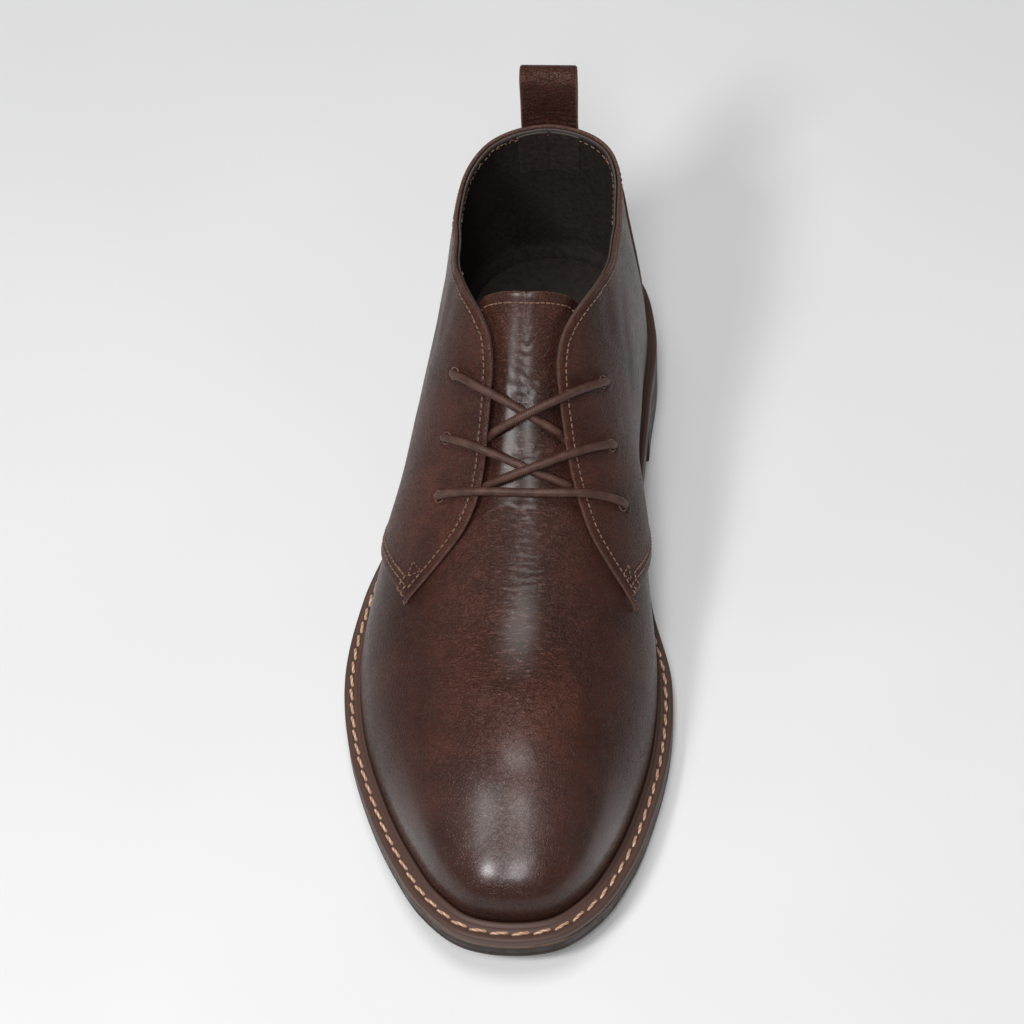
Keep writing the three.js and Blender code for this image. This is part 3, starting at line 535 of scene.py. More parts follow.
def shelled(grid, thickness, rounds=5):
    """A wall under a sheet, whose open edges are rolled over as half circles."""
    points, faces = grid.points, grid.faces
    normals = grid.normals()
    n = len(points)
    ring = []
    for k in range(4):
        a = faces[:, k]
        b = faces[:, (k + 1) % 4]
        keep = a != b
        ring.append(np.stack([a[keep], b[keep]], 1))
    edges = np.concatenate(ring)
    there = edges[:, 0] * n + edges[:, 1]
    back = edges[:, 1] * n + edges[:, 0]
    border = edges[~np.isin(there, back)]
    radius = thickness / 2
    after = dict(map(tuple, border))
    before = {b: a for a, b in after.items()}
    loop = np.array(sorted(after), int)
    slot = {a: i for i, a in enumerate(loop)}
    ahead = points[[after[a] for a in loop]] - points[[before[a] for a in loop]]
    up = normals[loop]
    out = np.cross(ahead, up)
    out /= np.maximum(np.linalg.norm(out, axis=1, keepdims=True), 1e-12)
    stack = [points]
    marks = {name: [a] for name, a in grid.values.items()}
    rings = [loop]
    total = n
    for k in range(1, rounds):
        angle = math.pi * k / rounds
        rim = points[loop] + out * (radius * math.sin(angle)) - up * (radius * (1 - math.cos(angle)))
        stack.append(rim)
        rings.append(np.arange(len(loop)) + total)
        total += len(loop)
        for name in marks:
            value = grid.values[name][loop]
            if name == "edge":
                value = np.full(len(loop), -radius * angle)
            marks[name].append(value)
    stack.append(points - normals * thickness)
    for name in marks:
        value = grid.values[name]
        marks[name].append(np.full(n, -9.0) if name == "edge" else value)
    rings.append(loop + total)
    new = [faces, faces[:, ::-1] + total]
    tri = new[1]
    # a triangle's doubled corner stays last
    doubled = tri[:, 0] == tri[:, 1]
    tri[doubled] = tri[doubled][:, [2, 3, 0, 1]]
    starts = np.array([slot[a] for a, b in border])
    ends = np.array([slot[b] for a, b in border])
    for k in range(len(rings) - 1):
        new.append(np.stack([rings[k][ends], rings[k][starts], rings[k + 1][starts], rings[k + 1][ends]], 1))
    return np.concatenate(stack), np.concatenate(new), {k: np.concatenate(v) for k, v in marks.items()}


def mesh_object(name, points, faces, values=None, material=None, smooth=True):
    mesh = bpy.data.meshes.new(name)
    listed = [tuple(f[:3]) if f[2] == f[3] else tuple(f) for f in np.asarray(faces).tolist()]
    mesh.from_pydata((np.asarray(points) * MM).tolist(), [], listed)
    for key, value in (values or {}).items():
        mesh.attributes.new(key, "FLOAT", "POINT").data.foreach_set("value", np.asarray(value, np.float32))
    mesh.polygons.foreach_set("use_smooth", [smooth] * len(mesh.polygons))
    mesh.update()
    obj = bpy.data.objects.new(name, mesh)
    bpy.context.scene.collection.objects.link(obj)
    if material is not None:
        mesh.materials.append(material)
    return obj


def finished(obj, slot, *nodes):
    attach(obj, "root")
    if nodes:
        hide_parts(*nodes)
    return obj


def creased(points, normals, rows, scale, echoes=ECHOES[:1]):
    """Soft troughs with raised shoulders along listed lines."""
    moved = points.copy()
    lines = [(row, echo) for row in rows for echo in echoes]
    for k, (row, (shift, reach, share)) in enumerate(lines):
        a0, w0, a1, w1, a2, w2, width, depth = row
        t = 0.5 + (np.linspace(0, 1, 61) - 0.5) * reach
        bend = [(1 - t) ** 2, 2 * t * (1 - t), t ** 2]
        around = bend[0] * a0 + bend[1] * (2 * a1 - (a0 + a2) / 2) + bend[2] * a2
        around = around + shift + width * 0.0011 * np.sin(t * 17.0 + 2.1 * k)
        across = bend[0] * w0 + bend[1] * (2 * w1 - (w0 + w2) / 2) + bend[2] * w2
        curve = last(np.where(across < 0, -around, around), 1 - np.abs(across))
        low = curve.min(0) - 4 * width
        high = curve.max(0) + 4 * width
        near = np.where(((points > low) & (points < high)).all(1))[0]
        if len(near) == 0:
            continue
        gaps = np.linalg.norm(points[near][:, None] - curve[None], axis=2)
        best = gaps.argmin(1)
        far = gaps[np.arange(len(near)), best] / width
        taper = np.sin(np.pi * np.clip(best / 60, 0.02, 0.98)) ** 0.6
        amount = -depth * share * scale * (1 - 0.9 * far ** 2) * np.exp(-far ** 2) * taper
        moved[near] += normals[near] * amount[:, None]
    return moved


def ridge_distance(points):
    return np.abs(points[:, 0] - (AXIS_X - 0.026 * BALL_WIDTH))


# Materials

def socket(tree, name, kind, out=False, value=None):
    item = tree.interface.new_socket(name=name, in_out="OUTPUT" if out else "INPUT", socket_type=kind)
    if value is not None:
        item.default_value = value
    return item


class Nodes:
    """Short ways to add and join shader nodes."""

    def __init__(self, tree):
        self.tree = tree

    def add(self, kind, **settings):
        node = self.tree.nodes.new(kind)
        for key, value in settings.items():
            setattr(node, key, value)
        return node

    def link(self, a, b):
        self.tree.links.new(a, b)

    def feed(self, socket_in, value):
        if isinstance(value, bpy.types.NodeSocket):
            self.link(value, socket_in)
        else:
            socket_in.default_value = value

    def math(self, operation, a, b=0.0, c=0.0, clamp=False):
        node = self.add("ShaderNodeMath", operation=operation, use_clamp=clamp)
        for k, value in enumerate((a, b, c)):
            self.feed(node.inputs[k], value)
        return node.outputs[0]

    def mix(self, share, a, b, blend="MIX"):
        node = self.add("ShaderNodeMix", data_type="RGBA", blend_type=blend)
        self.feed(node.inputs[0], share)
        self.feed(node.inputs[6], a)
        self.feed(node.inputs[7], b)
        return node.outputs[2]

    def step(self, value, low, high, out_low=0.0, out_high=1.0):
        node = self.add("ShaderNodeMapRange", interpolation_type="SMOOTHSTEP")
        self.feed(node.inputs[0], value)
        for k, number in zip((1, 2, 3, 4), (low, high, out_low, out_high)):
            self.feed(node.inputs[k], number)
        return node.outputs[0]

    def noise(self, vector, scale, detail=3.0, roughness=0.55, distortion=0.0, colour=False):
        node = self.add("ShaderNodeTexNoise")
        self.feed(node.inputs["Vector"], vector)
        self.feed(node.inputs["Scale"], scale)
        node.inputs["Detail"].default_value = detail
        node.inputs["Roughness"].default_value = roughness
        node.inputs["Distortion"].default_value = distortion
        return node.outputs["Color" if colour else "Fac"]

    def voronoi(self, vector, scale):
        """Distance to the edges of scattered cells."""
        node = self.add("ShaderNodeTexVoronoi", feature="DISTANCE_TO_EDGE")
        self.feed(node.inputs["Vector"], vector)
        self.feed(node.inputs["Scale"], scale)
        return node.outputs["Distance"]

    def attribute(self, name):
        node = self.add("ShaderNodeAttribute", attribute_name=name)
        return node.outputs["Fac"]

    def stretched(self, vector, factors, warp=None, amount=0.0):
        node = self.add("ShaderNodeVectorMath", operation="MULTIPLY")
        self.feed(node.inputs[0], vector)
        node.inputs[1].default_value = factors
        if warp is None:
            return node.outputs[0]
        centred = self.add("ShaderNodeVectorMath", operation="SUBTRACT")
        self.feed(centred.inputs[0], warp)
        centred.inputs[1].default_value = (0.5, 0.5, 0.5)
        shift = self.add("ShaderNodeVectorMath", operation="SCALE")
        self.link(centred.outputs[0], shift.inputs[0])
        shift.inputs["Scale"].default_value = amount
        total = self.add("ShaderNodeVectorMath", operation="ADD")
        self.link(node.outputs[0], total.inputs[0])
        self.link(shift.outputs[0], total.inputs[1])
        return total.outputs[0]


def full_grain():
    """Full-grain leather: mottled colour, pores, crossing wrinkles, burnished places and cut edges, with painted
    shade in grooves, crease troughs, stitch furrows and the places marked for shade.
    """
    tree = bpy.data.node_groups.get("full_grain")
    if tree:
        return tree
    tree = bpy.data.node_groups.new("full_grain", "ShaderNodeTree")
    for name, kind, value in (
        ("Deep", "NodeSocketColor", (0.03, 0.012, 0.009, 1)),
        ("Base", "NodeSocketColor", (0.07, 0.026, 0.018, 1)),
        ("Warm", "NodeSocketColor", (0.12, 0.042, 0.026, 1)),
        ("Cut", "NodeSocketColor", (0.19, 0.09, 0.065, 1)),
        ("Grain", "NodeSocketFloat", 1.0),
        ("Wrinkle", "NodeSocketFloat", 1.0),
        ("Crease", "NodeSocketFloat", 0.0),
        ("Burnish_and_shade", "NodeSocketFloat", 0.0),
        ("Edge", "NodeSocketFloat", 50.0),
        ("Seam", "NodeSocketFloat", 2.5),
    ):
        socket(tree, name, kind, value=value)
    for name, kind in (("Color", "NodeSocketColor"), ("Roughness", "NodeSocketFloat"), ("Height", "NodeSocketFloat")):
        socket(tree, name, kind, out=True)
    n = Nodes(tree)
    given = n.add("NodeGroupInput").outputs
    put = n.add("NodeGroupOutput").inputs
    place = n.add("ShaderNodeTexCoord").outputs["Object"]
    drift = n.noise(place, 90.0, 3.0, 0.6, colour=True)
    fine_drift = n.noise(place, 420.0, 2.0, 0.5, colour=True)
    # curling veins in the grain, and small cells between them
    veins_at = n.stretched(place, (330.0, 400.0, 360.0), fine_drift, 1.0)
    veins = n.math("ABSOLUTE", n.math("MULTIPLY_ADD", n.noise(veins_at, 1.0, 1.5, 0.6, 0.7), 2.0, -1.0))
    cells = n.step(veins, 0.0, 0.085)
    small_at = n.stretched(place, (980.0, 1120.0, 1050.0), fine_drift, 0.8)
    small = n.step(n.voronoi(small_at, 1.0), 0.0, 0.24)
    # short ridges across the foot
    ridges_at = n.stretched(place, (170.0, 660.0, 560.0), drift, 1.3)
    folded = n.math("ABSOLUTE", n.math("MULTIPLY_ADD", n.noise(ridges_at, 1.0, 3.0, 0.6), 2.0, -1.0))
    ridges = n.step(folded, 0.0, 0.20, 1.0, 0.0)
    swell = n.noise(place, 60.0, 4.0, 0.6)
    patch = n.noise(place, 30.0, 5.0, 0.62, 0.4)
    # height, in millimetres
    crease = n.math("MULTIPLY", given["Crease"], given["Wrinkle"])
    smooth = n.math("MULTIPLY_ADD", given["Burnish_and_shade"], -0.55, 1.0)
    cell_height = n.math("MULTIPLY", cells, n.math("MULTIPLY_ADD", crease, 0.06, 0.15))
    small_height = n.math("MULTIPLY", small, 0.075)
    ridge_height = n.math("MULTIPLY", ridges, n.math("MULTIPLY", crease, -0.30))
    height = n.math("ADD", n.math("ADD", cell_height, small_height), ridge_height)
    height = n.math("MULTIPLY", n.math("MULTIPLY", height, smooth), given["Grain"])
    height = n.math("MULTIPLY_ADD", swell, 0.25, height)
    off_seam = n.math("ABSOLUTE", n.math("SUBTRACT", given["Edge"], given["Seam"]))
    height = n.math("ADD", height, n.step(off_seam, 0.0, 0.8, -0.12, 0.0))
    n.link(height, put["Height"])
    # colour, with painted shade toward Deep in grooves, crease troughs, stitch furrows and the burnished and shaded
    # places
    colour = n.mix(n.step(patch, 0.34, 0.68), given["Base"], given["Warm"])
    dark_patch = n.step(n.noise(place, 48.0, 5.0, 0.65, 0.3), 0.48, 0.74)
    colour = n.mix(n.math("MULTIPLY", dark_patch, 0.5), colour, given["Deep"])
    # painted shade: grain grooves and crease troughs are darkened toward Deep
    groove_shade = n.math("SUBTRACT", 1.0, n.math("MULTIPLY", cells, n.math("MULTIPLY_ADD", small, 0.5, 0.5)))
    groove_shade = n.math("MAXIMUM", groove_shade, n.math("MULTIPLY", ridges, crease))
    groove_shade = n.math("MULTIPLY", groove_shade, n.math("MULTIPLY", smooth, 0.42), clamp=True)
    colour = n.mix(groove_shade, colour, given["Deep"])
    # burnished places and painted shade both darken toward Deep
    colour = n.mix(n.math("MULTIPLY", given["Burnish_and_shade"], 0.8, clamp=True), colour, given["Deep"])
    # painted shade in the stitch furrow along the seam line
    colour = n.mix(n.step(off_seam, 0.0, 1.2, 0.25, 0.0), colour, given["Deep"])
    colour = n.mix(n.step(given["Edge"], 0.0, 1.3, 0.38, 0.0), colour, given["Warm"])
    cut = n.step(given["Edge"], -0.75, -0.2, 1.0, 0.0)
    colour = n.mix(cut, colour, given["Cut"])
    n.link(colour, put["Color"])
    rough = n.math("MULTIPLY_ADD", n.noise(place, 130.0, 4.0, 0.6), 0.14, 0.28)
    rough = n.math("MULTIPLY_ADD", groove_shade, 0.35, rough)
    rough = n.math("MULTIPLY_ADD", given["Burnish_and_shade"], -0.08, rough)
    rough = n.math("MULTIPLY_ADD", cut, 0.12, rough, clamp=True)
    n.link(rough, put["Roughness"])
    return tree


def braid():
    """Round braided cord, from its length and its angle round the core, with a painted highlight on the braid's
    raised tops.
    """
    tree = bpy.data.node_groups.get("braid")
    if tree:
        return tree
    tree = bpy.data.node_groups.new("braid", "ShaderNodeTree")
    socket(tree, "Along", "NodeSocketFloat", value=0.0)
    socket(tree, "Round", "NodeSocketFloat", value=0.0)
    socket(tree, "Yarn", "NodeSocketColor", value=(0.05, 0.02, 0.014, 1))
    socket(tree, "Sheen", "NodeSocketColor", value=(0.13, 0.07, 0.05, 1))
    socket(tree, "Color", "NodeSocketColor", out=True)
    socket(tree, "Height", "NodeSocketFloat", out=True)
    n = Nodes(tree)
    given = n.add("NodeGroupInput").outputs
    put = n.add("NodeGroupOutput").inputs
    slant = n.math("MULTIPLY", given["Round"], 3.0)
    height = n.step(n.math("SINE", n.math("MULTIPLY_ADD", given["Along"], 8.2, slant)), -0.8, 1.0)
    n.link(n.math("MULTIPLY", height, 0.05), put["Height"])
    place = n.add("ShaderNodeTexCoord").outputs["Object"]
    # painted highlight: the raised tops take the Sheen colour, the grooves keep the Yarn colour
    share = n.math("MULTIPLY", height, n.step(n.noise(place, 300.0, 3.0), 0.3, 0.75))
    n.link(n.mix(share, given["Yarn"], given["Sheen"]), put["Color"])
    return tree


def material(name):
    made = bpy.data.materials.new(name)
    made.use_nodes = True
    tree = made.node_tree
    shader = tree.nodes["Principled BSDF"]
    return made, Nodes(tree), shader


def bump(n, shader, height, distance=1.0, strength=1.0):
    node = n.add("ShaderNodeBump")
    node.inputs["Strength"].default_value = strength
    node.inputs["Distance"].default_value = distance * MM
    n.link(height, node.inputs["Height"])
    n.link(node.outputs["Normal"], shader.inputs["Normal"])
    return node


def leather(name, props, grain=1.0, seam=2.5, tint=1.0, gloss=False):
    """One of the boot's leathers, set up from the shared grain group."""
    if name in bpy.data.materials:
        return bpy.data.materials[name]
    made, n, shader = material(name)
    group = n.add("ShaderNodeGroup", node_tree=full_grain())
    for key, colour in (("Deep", props.deep), ("Base", props.base), ("Warm", props.warm), ("Cut", props.cut)):
        group.inputs[key].default_value = tuple(c * tint for c in colour[:3]) + (1.0,)
    group.inputs["Grain"].default_value = grain * props.grain
    group.inputs["Wrinkle"].default_value = props.wrinkle
    group.inputs["Seam"].default_value = seam
    for key in ("Crease", "Burnish_and_shade", "Edge"):
        n.link(n.attribute(key.lower()), group.inputs[key])
    n.link(group.outputs["Color"], shader.inputs["Base Color"])
    n.link(group.outputs["Roughness"], shader.inputs["Roughness"])
    bump(n, shader, group.outputs["Height"])
    if gloss:
        n.link(n.attribute("gloss"), shader.inputs["Coat Weight"])
    shader.inputs["Coat Roughness"].default_value = 0.25
    shader.inputs["Specular IOR Level"].default_value = 0.27
    return made


def noisy(name, dark, light, scale, rough=(0.5, 0.7), height=0.05, stretch=(1, 1, 1)):
    """A plain finish with noise in its colour, gloss and relief."""
    if name in bpy.data.materials:
        return bpy.data.materials[name]
    made, n, shader = material(name)
    place = n.add("ShaderNodeTexCoord").outputs["Object"]
    at = n.stretched(place, stretch)
    grain = n.noise(at, scale, 4.0, 0.6)
    broad = n.noise(place, 35.0, 3.0, 0.5)
    share = n.math("MULTIPLY_ADD", grain, 0.6, n.math("MULTIPLY", broad, 0.4))
    n.link(n.mix(n.step(share, 0.3, 0.7), dark + (1,), light + (1,)), shader.inputs["Base Color"])
    n.link(n.step(grain, 0.25, 0.75, rough[0], rough[1]), shader.inputs["Roughness"])
    bump(n, shader, n.math("MULTIPLY", grain, height))
    return made


# Pieces of the upper

def vamp_piece(props):
    """Vamp and tongue in one leather, from the toe to the tongue's top."""
    place = np.linspace(0, TONGUE_TOP, 600)
    dense = np.cumsum(1 + 0.9 * smooth_step((place - 0.26) / 0.04) * smooth_step((0.66 - place) / 0.04))
    one = np.interp(np.linspace(dense[0], dense[-1], 250), dense, place)
    turns = np.concatenate([-one[1:][::-1], one])
    rows = 80
    whole = rib_run(turns)[1][:, -1]
    tops = top_run(np.where(np.abs(turns) < QUARTER_TIP, QUARTER_TIP, turns))
    start = np.maximum(tops - 16.0, 0) * smooth_step((np.abs(turns) - 0.60) / 0.05)
    v, runs, _ = rib_run(turns)
    share = np.linspace(0, 1, rows)
    rise = np.array([np.interp(start[i] + (whole[i] - start[i]) * share, runs[i], v) for i in range(len(turns))])
    rise[:, -1] = 1.0
    turn_grid = np.repeat(turns[:, None], rows, 1)
    run_grid = start[:, None] + (whole - start)[:, None] * share[None]
    hidden = tops[:, None] - run_grid
    back = smooth_step((np.abs(turn_grid) - THROAT_START) / (TONGUE_TOP - THROAT_START))
    middle = smooth_step(-hidden / 24.0)
    moved = turn_grid - np.sign(turn_grid) * TONGUE_DIP * back * middle
    points = last(moved, rise)
    hidden = np.where(np.abs(turn_grid) < QUARTER_TIP, -5.0, hidden)
    covered = smooth_step((rise - FACING(np.abs(turn_grid))["lower"]) / 0.08)
    grid = Grid(points, turn=turn_grid, hidden=hidden, covered=covered)
    turn = grid.values["turn"]
    normals = grid.normals()
    inside = smooth_step((14.0 - grid.values["hidden"]) / 10.0)
    drop = TONGUE_DROP * inside * smooth_step((np.abs(turn) - 0.44) / 0.07)
    drop = drop + 0.45 * smooth_step((np.abs(turn) - 0.46) / 0.05)
    drop = drop + 1.1 * smooth_step((grid.values["hidden"] + 5.0) / 6.0) * smooth_step((np.abs(turn) - 0.47) / 0.05)
    drop = drop * grid.values["covered"]
    shaped = creased(grid.points, normals, VAMP_CREASES, props.crease_depth, ECHOES)
    grid.points = shaped - normals * drop[:, None]
    share = share_at(grid.points[:, 1])
    centre = np.exp(-(ridge_distance(grid.points) / 17.0) ** 2)
    along = smooth_step((share - 0.20) / 0.12)
    flex = np.exp(-((share - 0.31) / 0.05) ** 2)
    side = np.clip(1 - ridge_distance(grid.points) / 62.0, 0, 1)
    crease = along * (0.25 * side + 0.85 * centre) + 0.5 * flex * side
    # darker toward the toe's tip
    burnish_and_shade = 0.9 * np.clip(1 - share / 0.20, 0, 1) ** 0.8
    # painted shade, darker near the sole
    foot = np.clip(1 - (grid.points[:, 2] - seat(grid.points[:, 1])) / 9.0, 0, 1)
    burnish_and_shade = np.maximum(burnish_and_shade, 0.8 * foot)
    rim = np.concatenate([points[0], points[-1]])
    edge = np.full(len(grid.points), 50.0)
    near = np.where(np.abs(turn) > 0.58)[0]
    edge[near] = np.linalg.norm(grid.points[near][:, None] - rim[None], axis=2).min(1)
    gloss = 1.0 * np.exp(-((share - 0.11) / 0.07) ** 2)
    gloss = np.maximum(gloss, 0.38 * centre * smooth_step((share - 0.26) / 0.08))
    # painted shade on the sides, away from the ridge
    painted_side_shade = np.clip((ridge_distance(grid.points) - 20.0) / 24.0, 0, 1)
    burnish_and_shade = np.maximum(burnish_and_shade, 0.7 * painted_side_shade)
    grid.values = {"crease": crease, "burnish_and_shade": burnish_and_shade, "edge": edge, "gloss": gloss}
    points, faces, values = shelled(grid, 1.5)
    skin = leather("vamp_leather", props, seam=3.0, gloss=True)
    return finished(mesh_object("vamp_and_tongue", points, faces, values, skin), "upper_leather", "tongue")


def quarter_grid(turns, tops, foots, rows):
    """A sheet over the last between two distances from the foot."""
    v, runs, _ = rib_run(turns)
    share = np.linspace(0, 1, rows)
    run_grid = foots[:, None] + (tops - foots)[:, None] * share[None]
    rise = np.array([np.interp(run_grid[i], runs[i], v) for i in range(len(turns))])
    turn_grid = np.repeat(turns[:, None], rows, 1)
    return last(turn_grid, rise), run_grid, turn_grid, rise


def edge_distance(points, turns, tops, foots, low):
    """Distance of every point from the quarters' open edges, measured in space."""
    v, runs, _ = rib_run(turns)
    rise = np.array([np.interp(t, runs[i], v) for i, t in enumerate(tops)])
    top = last(turns, rise)
    rise = np.array([np.interp(t, runs[i], v) for i, t in enumerate(foots)])
    foot = last(turns, rise)
    curve = [top]
    keep = np.abs(turns) < low
    curve.append(foot[keep])
    curve = np.concatenate(curve)
    found = np.full(len(points), 99.0)
    for k in range(0, len(points), 4000):
        block = points[k:k + 4000]
        gaps = np.linalg.norm(block[:, None] - curve[None], axis=2)
        found[k:k + 4000] = gaps.min(1)
    return found


def eyelets():
    """Middle of each eyelet on the quarters' outside, with the direction out of the hole."""
    found = []
    for around, lateral, medial in EYELET_ROWS:
        for side, factor in ((-1, lateral), (1, medial)):
            turn = side * around
            far = float(FACING(around)["far"]) * BALL_WIDTH + EYELET_INSET * factor
            whole = rib_run(turn)[1][0, -1]
            rise = rise_at(turn, whole - far)[0]
            found.append((side, last(turn, rise), normal_at(turn, rise), turn, far))
    return found


def quarters_piece(props):
    """Both quarters, in one wall from tip to tip round the heel."""
    turns = closed_turns(QUARTER_TIP - 0.002, 172)
    tops = top_run(turns)
    foots = np.maximum(foot_run(turns), 0.4)
    foots = np.minimum(foots, tops - 0.3)
    rows = 92
    points, run_grid, turn_grid, rise = quarter_grid(turns, tops, foots, rows)
    grid = Grid(points, turn=turn_grid, rise=rise)
    base = grid.points.copy()
    normals = grid.normals()
    shaped = creased(base, normals, QUARTER_CREASES, props.crease_depth)
    wall = np.full(len(base), QUARTER_WALL)
    for side, middle, out, turn, far in eyelets():
        reach = np.linalg.norm(base - middle, axis=1)
        wall += 0.30 * np.exp(-((reach - 3.4) / 0.9) ** 2) - 0.25 * np.exp(-(reach / 2.6) ** 2)
    grid.points = shaped + normals * wall[:, None]
    edge = edge_distance(base, turns, tops, foots, 0.585)
    turn = grid.values["turn"]
    rise = grid.values["rise"]
    height = grid.points[:, 2] - seat(grid.points[:, 1])
    # painted shade: darker near the sole and low on the back, and a little darker near the open edges
    burnish_and_shade = 0.85 * np.clip(1 - height / 9.0, 0, 1)
    burnish_and_shade = np.maximum(burnish_and_shade, 0.3 * np.clip(1 - edge / 7.0, 0, 1))
    burnish_and_shade = np.maximum(burnish_and_shade, 0.8 * smooth_step((np.abs(turn) - 0.56) / 0.2) * (1 - rise) ** 0.7)
    crease = 0.30 + 0.35 * np.exp(-((np.abs(turn) - 0.68) / 0.07) ** 2) * np.exp(-((rise - 0.6) / 0.25) ** 2)
    grid.values = {"crease": crease, "burnish_and_shade": burnish_and_shade, "edge": edge}
    points, faces, values = shelled(grid, EDGE_WALL)
    skin = leather("quarter_leather", props, seam=2.5)
    obj = mesh_object("quarters", points, faces, values, skin)
    cutters = []
    for side, middle, out, turn, far in eyelets():
        bpy.ops.mesh.primitive_cylinder_add(vertices=32, radius=EYELET_SEEN / 2 * MM, depth=12 * MM,
                                            location=Vector(middle) * MM)
        cutter = bpy.context.object
        cutter.rotation_mode = "QUATERNION"
        cutter.rotation_quaternion = Vector(out).to_track_quat("Z", "Y")
        cutters.append(cutter)
    bpy.ops.object.select_all(action="DESELECT")
    for cutter in cutters:
        cutter.select_set(True)
    bpy.context.view_layer.objects.active = cutters[0]
    bpy.ops.object.join()
    cutter = bpy.context.object
    cut = obj.modifiers.new("eyelets", "BOOLEAN")
    cut.object = cutter
    cut.operation = "DIFFERENCE"
    cut.solver = "EXACT"
    bpy.context.view_layer.objects.active = obj
    bpy.ops.object.modifier_apply(modifier=cut.name)
    bpy.data.objects.remove(cutter)
    return finished(obj, "upper_leather", "upper")


def counter_piece(props):
    """The raised counter round the back of the heel."""
    rows = 60
    across = 150
    levels = np.linspace(0.0, COUNTER_TOP, rows)
    edge = COUNTER(levels)["around"]
    share = np.linspace(0, 1, across)
    turn = wrap_turn(edge[None] + (2 - 2 * edge[None]) * share[:, None])
    rise = np.repeat(levels[None], across, 0)
    rise = np.maximum(rise, 0.008)
    base = last(turn, rise)
    normals = normal_at(turn, rise)
    points = base + normals * (QUARTER_WALL + COUNTER_WALL)
    fall = np.minimum(share, 1 - share)[:, None] * np.ones(rows) * 90.0
    top = np.repeat(((COUNTER_TOP - levels) * 100.0)[None], across, 0)
    far = np.minimum(fall, top)
    height = points[..., 2] - seat(points[..., 1])
    # painted shade near the sole; darker near the counter's edges
    burnish_and_shade = np.maximum(0.85 * np.clip(1 - height / 9.0, 0, 1), 0.4 * np.clip(1 - far / 6.0, 0, 1))
    grid = Grid(points, crease=np.full(far.shape, 0.25), burnish_and_shade=burnish_and_shade, edge=far)
    points, faces, values = shelled(grid, COUNTER_WALL + 0.3)
    skin = leather("counter_leather", props, seam=2.0)
    return finished(mesh_object("counter", points, faces, values, skin), "upper_leather")


def lining_piece(props):
    """Lining of the shaft, with its thin edge inside the collar."""
    turns = closed_turns(0.44, 130)
    tops = top_run(turns) - 0.7
    foots = np.full(len(turns), 0.6)
    rows = 60
    points, run_grid, turn_grid, rise = quarter_grid(turns, tops, foots, rows)
    covered = smooth_step((rise - FACING(np.abs(turn_grid))["lower"]) / 0.08)
    grid = Grid(points, edge=tops[:, None] - run_grid, covered=covered)
    normals = grid.normals()
    out = LINING_OUT - (LINING_OUT + 1.9) * (1 - grid.values["covered"])
    swell = 0.25 * np.sin(grid.points[:, 0] * 0.31) * np.sin(grid.points[:, 2] * 0.17)
    grid.points = grid.points + normals * (out - 0.3 * np.abs(swell))[:, None]
    points, faces, values = shelled(grid, LINING_WALL - 0.2)
    skin = noisy("lining_leather", (0.020, 0.0145, 0.0125), (0.042, 0.031, 0.027), 520.0, (0.55, 0.75), 0.06)
    return finished(mesh_object("shaft_lining", points, faces, values, skin), "insole_leather")


def collar_edge_piece(props):
    """The grey cut edge of the lining that shows inside the collar."""
    turns = closed_turns(0.60, 150)
    tops = top_run(turns)
    v, runs, _ = rib_run(turns)
    rise = np.array([np.interp(t - 0.1, runs[i], v) for i, t in enumerate(tops)])
    middle = last(turns, rise)
    normals = normal_at(turns, rise)
    middle = middle - normals * 0.25
    return tube("collar_lining_edge", middle, 0.38, 8, noisy(
        "lining_edge", (0.045, 0.036, 0.032), (0.105, 0.086, 0.078), 900.0, (0.6, 0.8), 0.03), "insole_leather")


def tube(name, points, radius, sides, skin, slot, ends=True):
    """A round cord or edge along points, with how far along and how far round stored on it."""
    points = np.asarray(points, float)
    count = len(points)
    ahead = np.gradient(points, axis=0)
    ahead /= np.linalg.norm(ahead, axis=1, keepdims=True)
    up = np.zeros_like(points)
    guess = np.array([0, 0, 1.0]) if abs(ahead[0, 2]) < 0.9 else np.array([0, 1.0, 0])
    for i in range(count):
        flat = guess - ahead[i] * guess.dot(ahead[i])
        guess = flat / np.linalg.norm(flat)
        up[i] = guess
    side = np.cross(ahead, up)
    run = np.concatenate([[0], np.linalg.norm(np.diff(points, axis=0), axis=1).cumsum()])
    angle = np.linspace(-math.pi, math.pi, sides + 1)[:-1]
    rings = (points[:, None] + radius * (np.cos(angle)[None, :, None] * up[:, None]
             + np.sin(angle)[None, :, None] * side[:, None]))
    flat = rings.reshape(-1, 3)
    i, j = np.meshgrid(np.arange(count - 1), np.arange(sides), indexing="ij")
    k = (j + 1) % sides
    faces = np.stack([i * sides + j, i * sides + k, (i + 1) * sides + k, (i + 1) * sides + j], -1).reshape(-1, 4)
    along = np.repeat(run, sides)
    round_ = np.tile(angle, count)
    caps = []
    if ends:
        flat = np.concatenate([flat, [points[0] - ahead[0] * radius * 0.5, points[-1] + ahead[-1] * radius * 0.5]])
        first, final = count * sides, count * sides + 1
        for j in range(sides):
            k = (j + 1) % sides
            caps.append([first, k, j, j])
            caps.append([final, (count - 1) * sides + j, (count - 1) * sides + k, (count - 1) * sides + k])
        faces = np.concatenate([faces, np.array(caps)])
        along = np.concatenate([along, [0, run[-1]]])
        round_ = np.concatenate([round_, [0, 0]])
    obj = mesh_object(name, flat, faces, {"along": along, "round": round_}, skin)
    return finished(obj, slot)


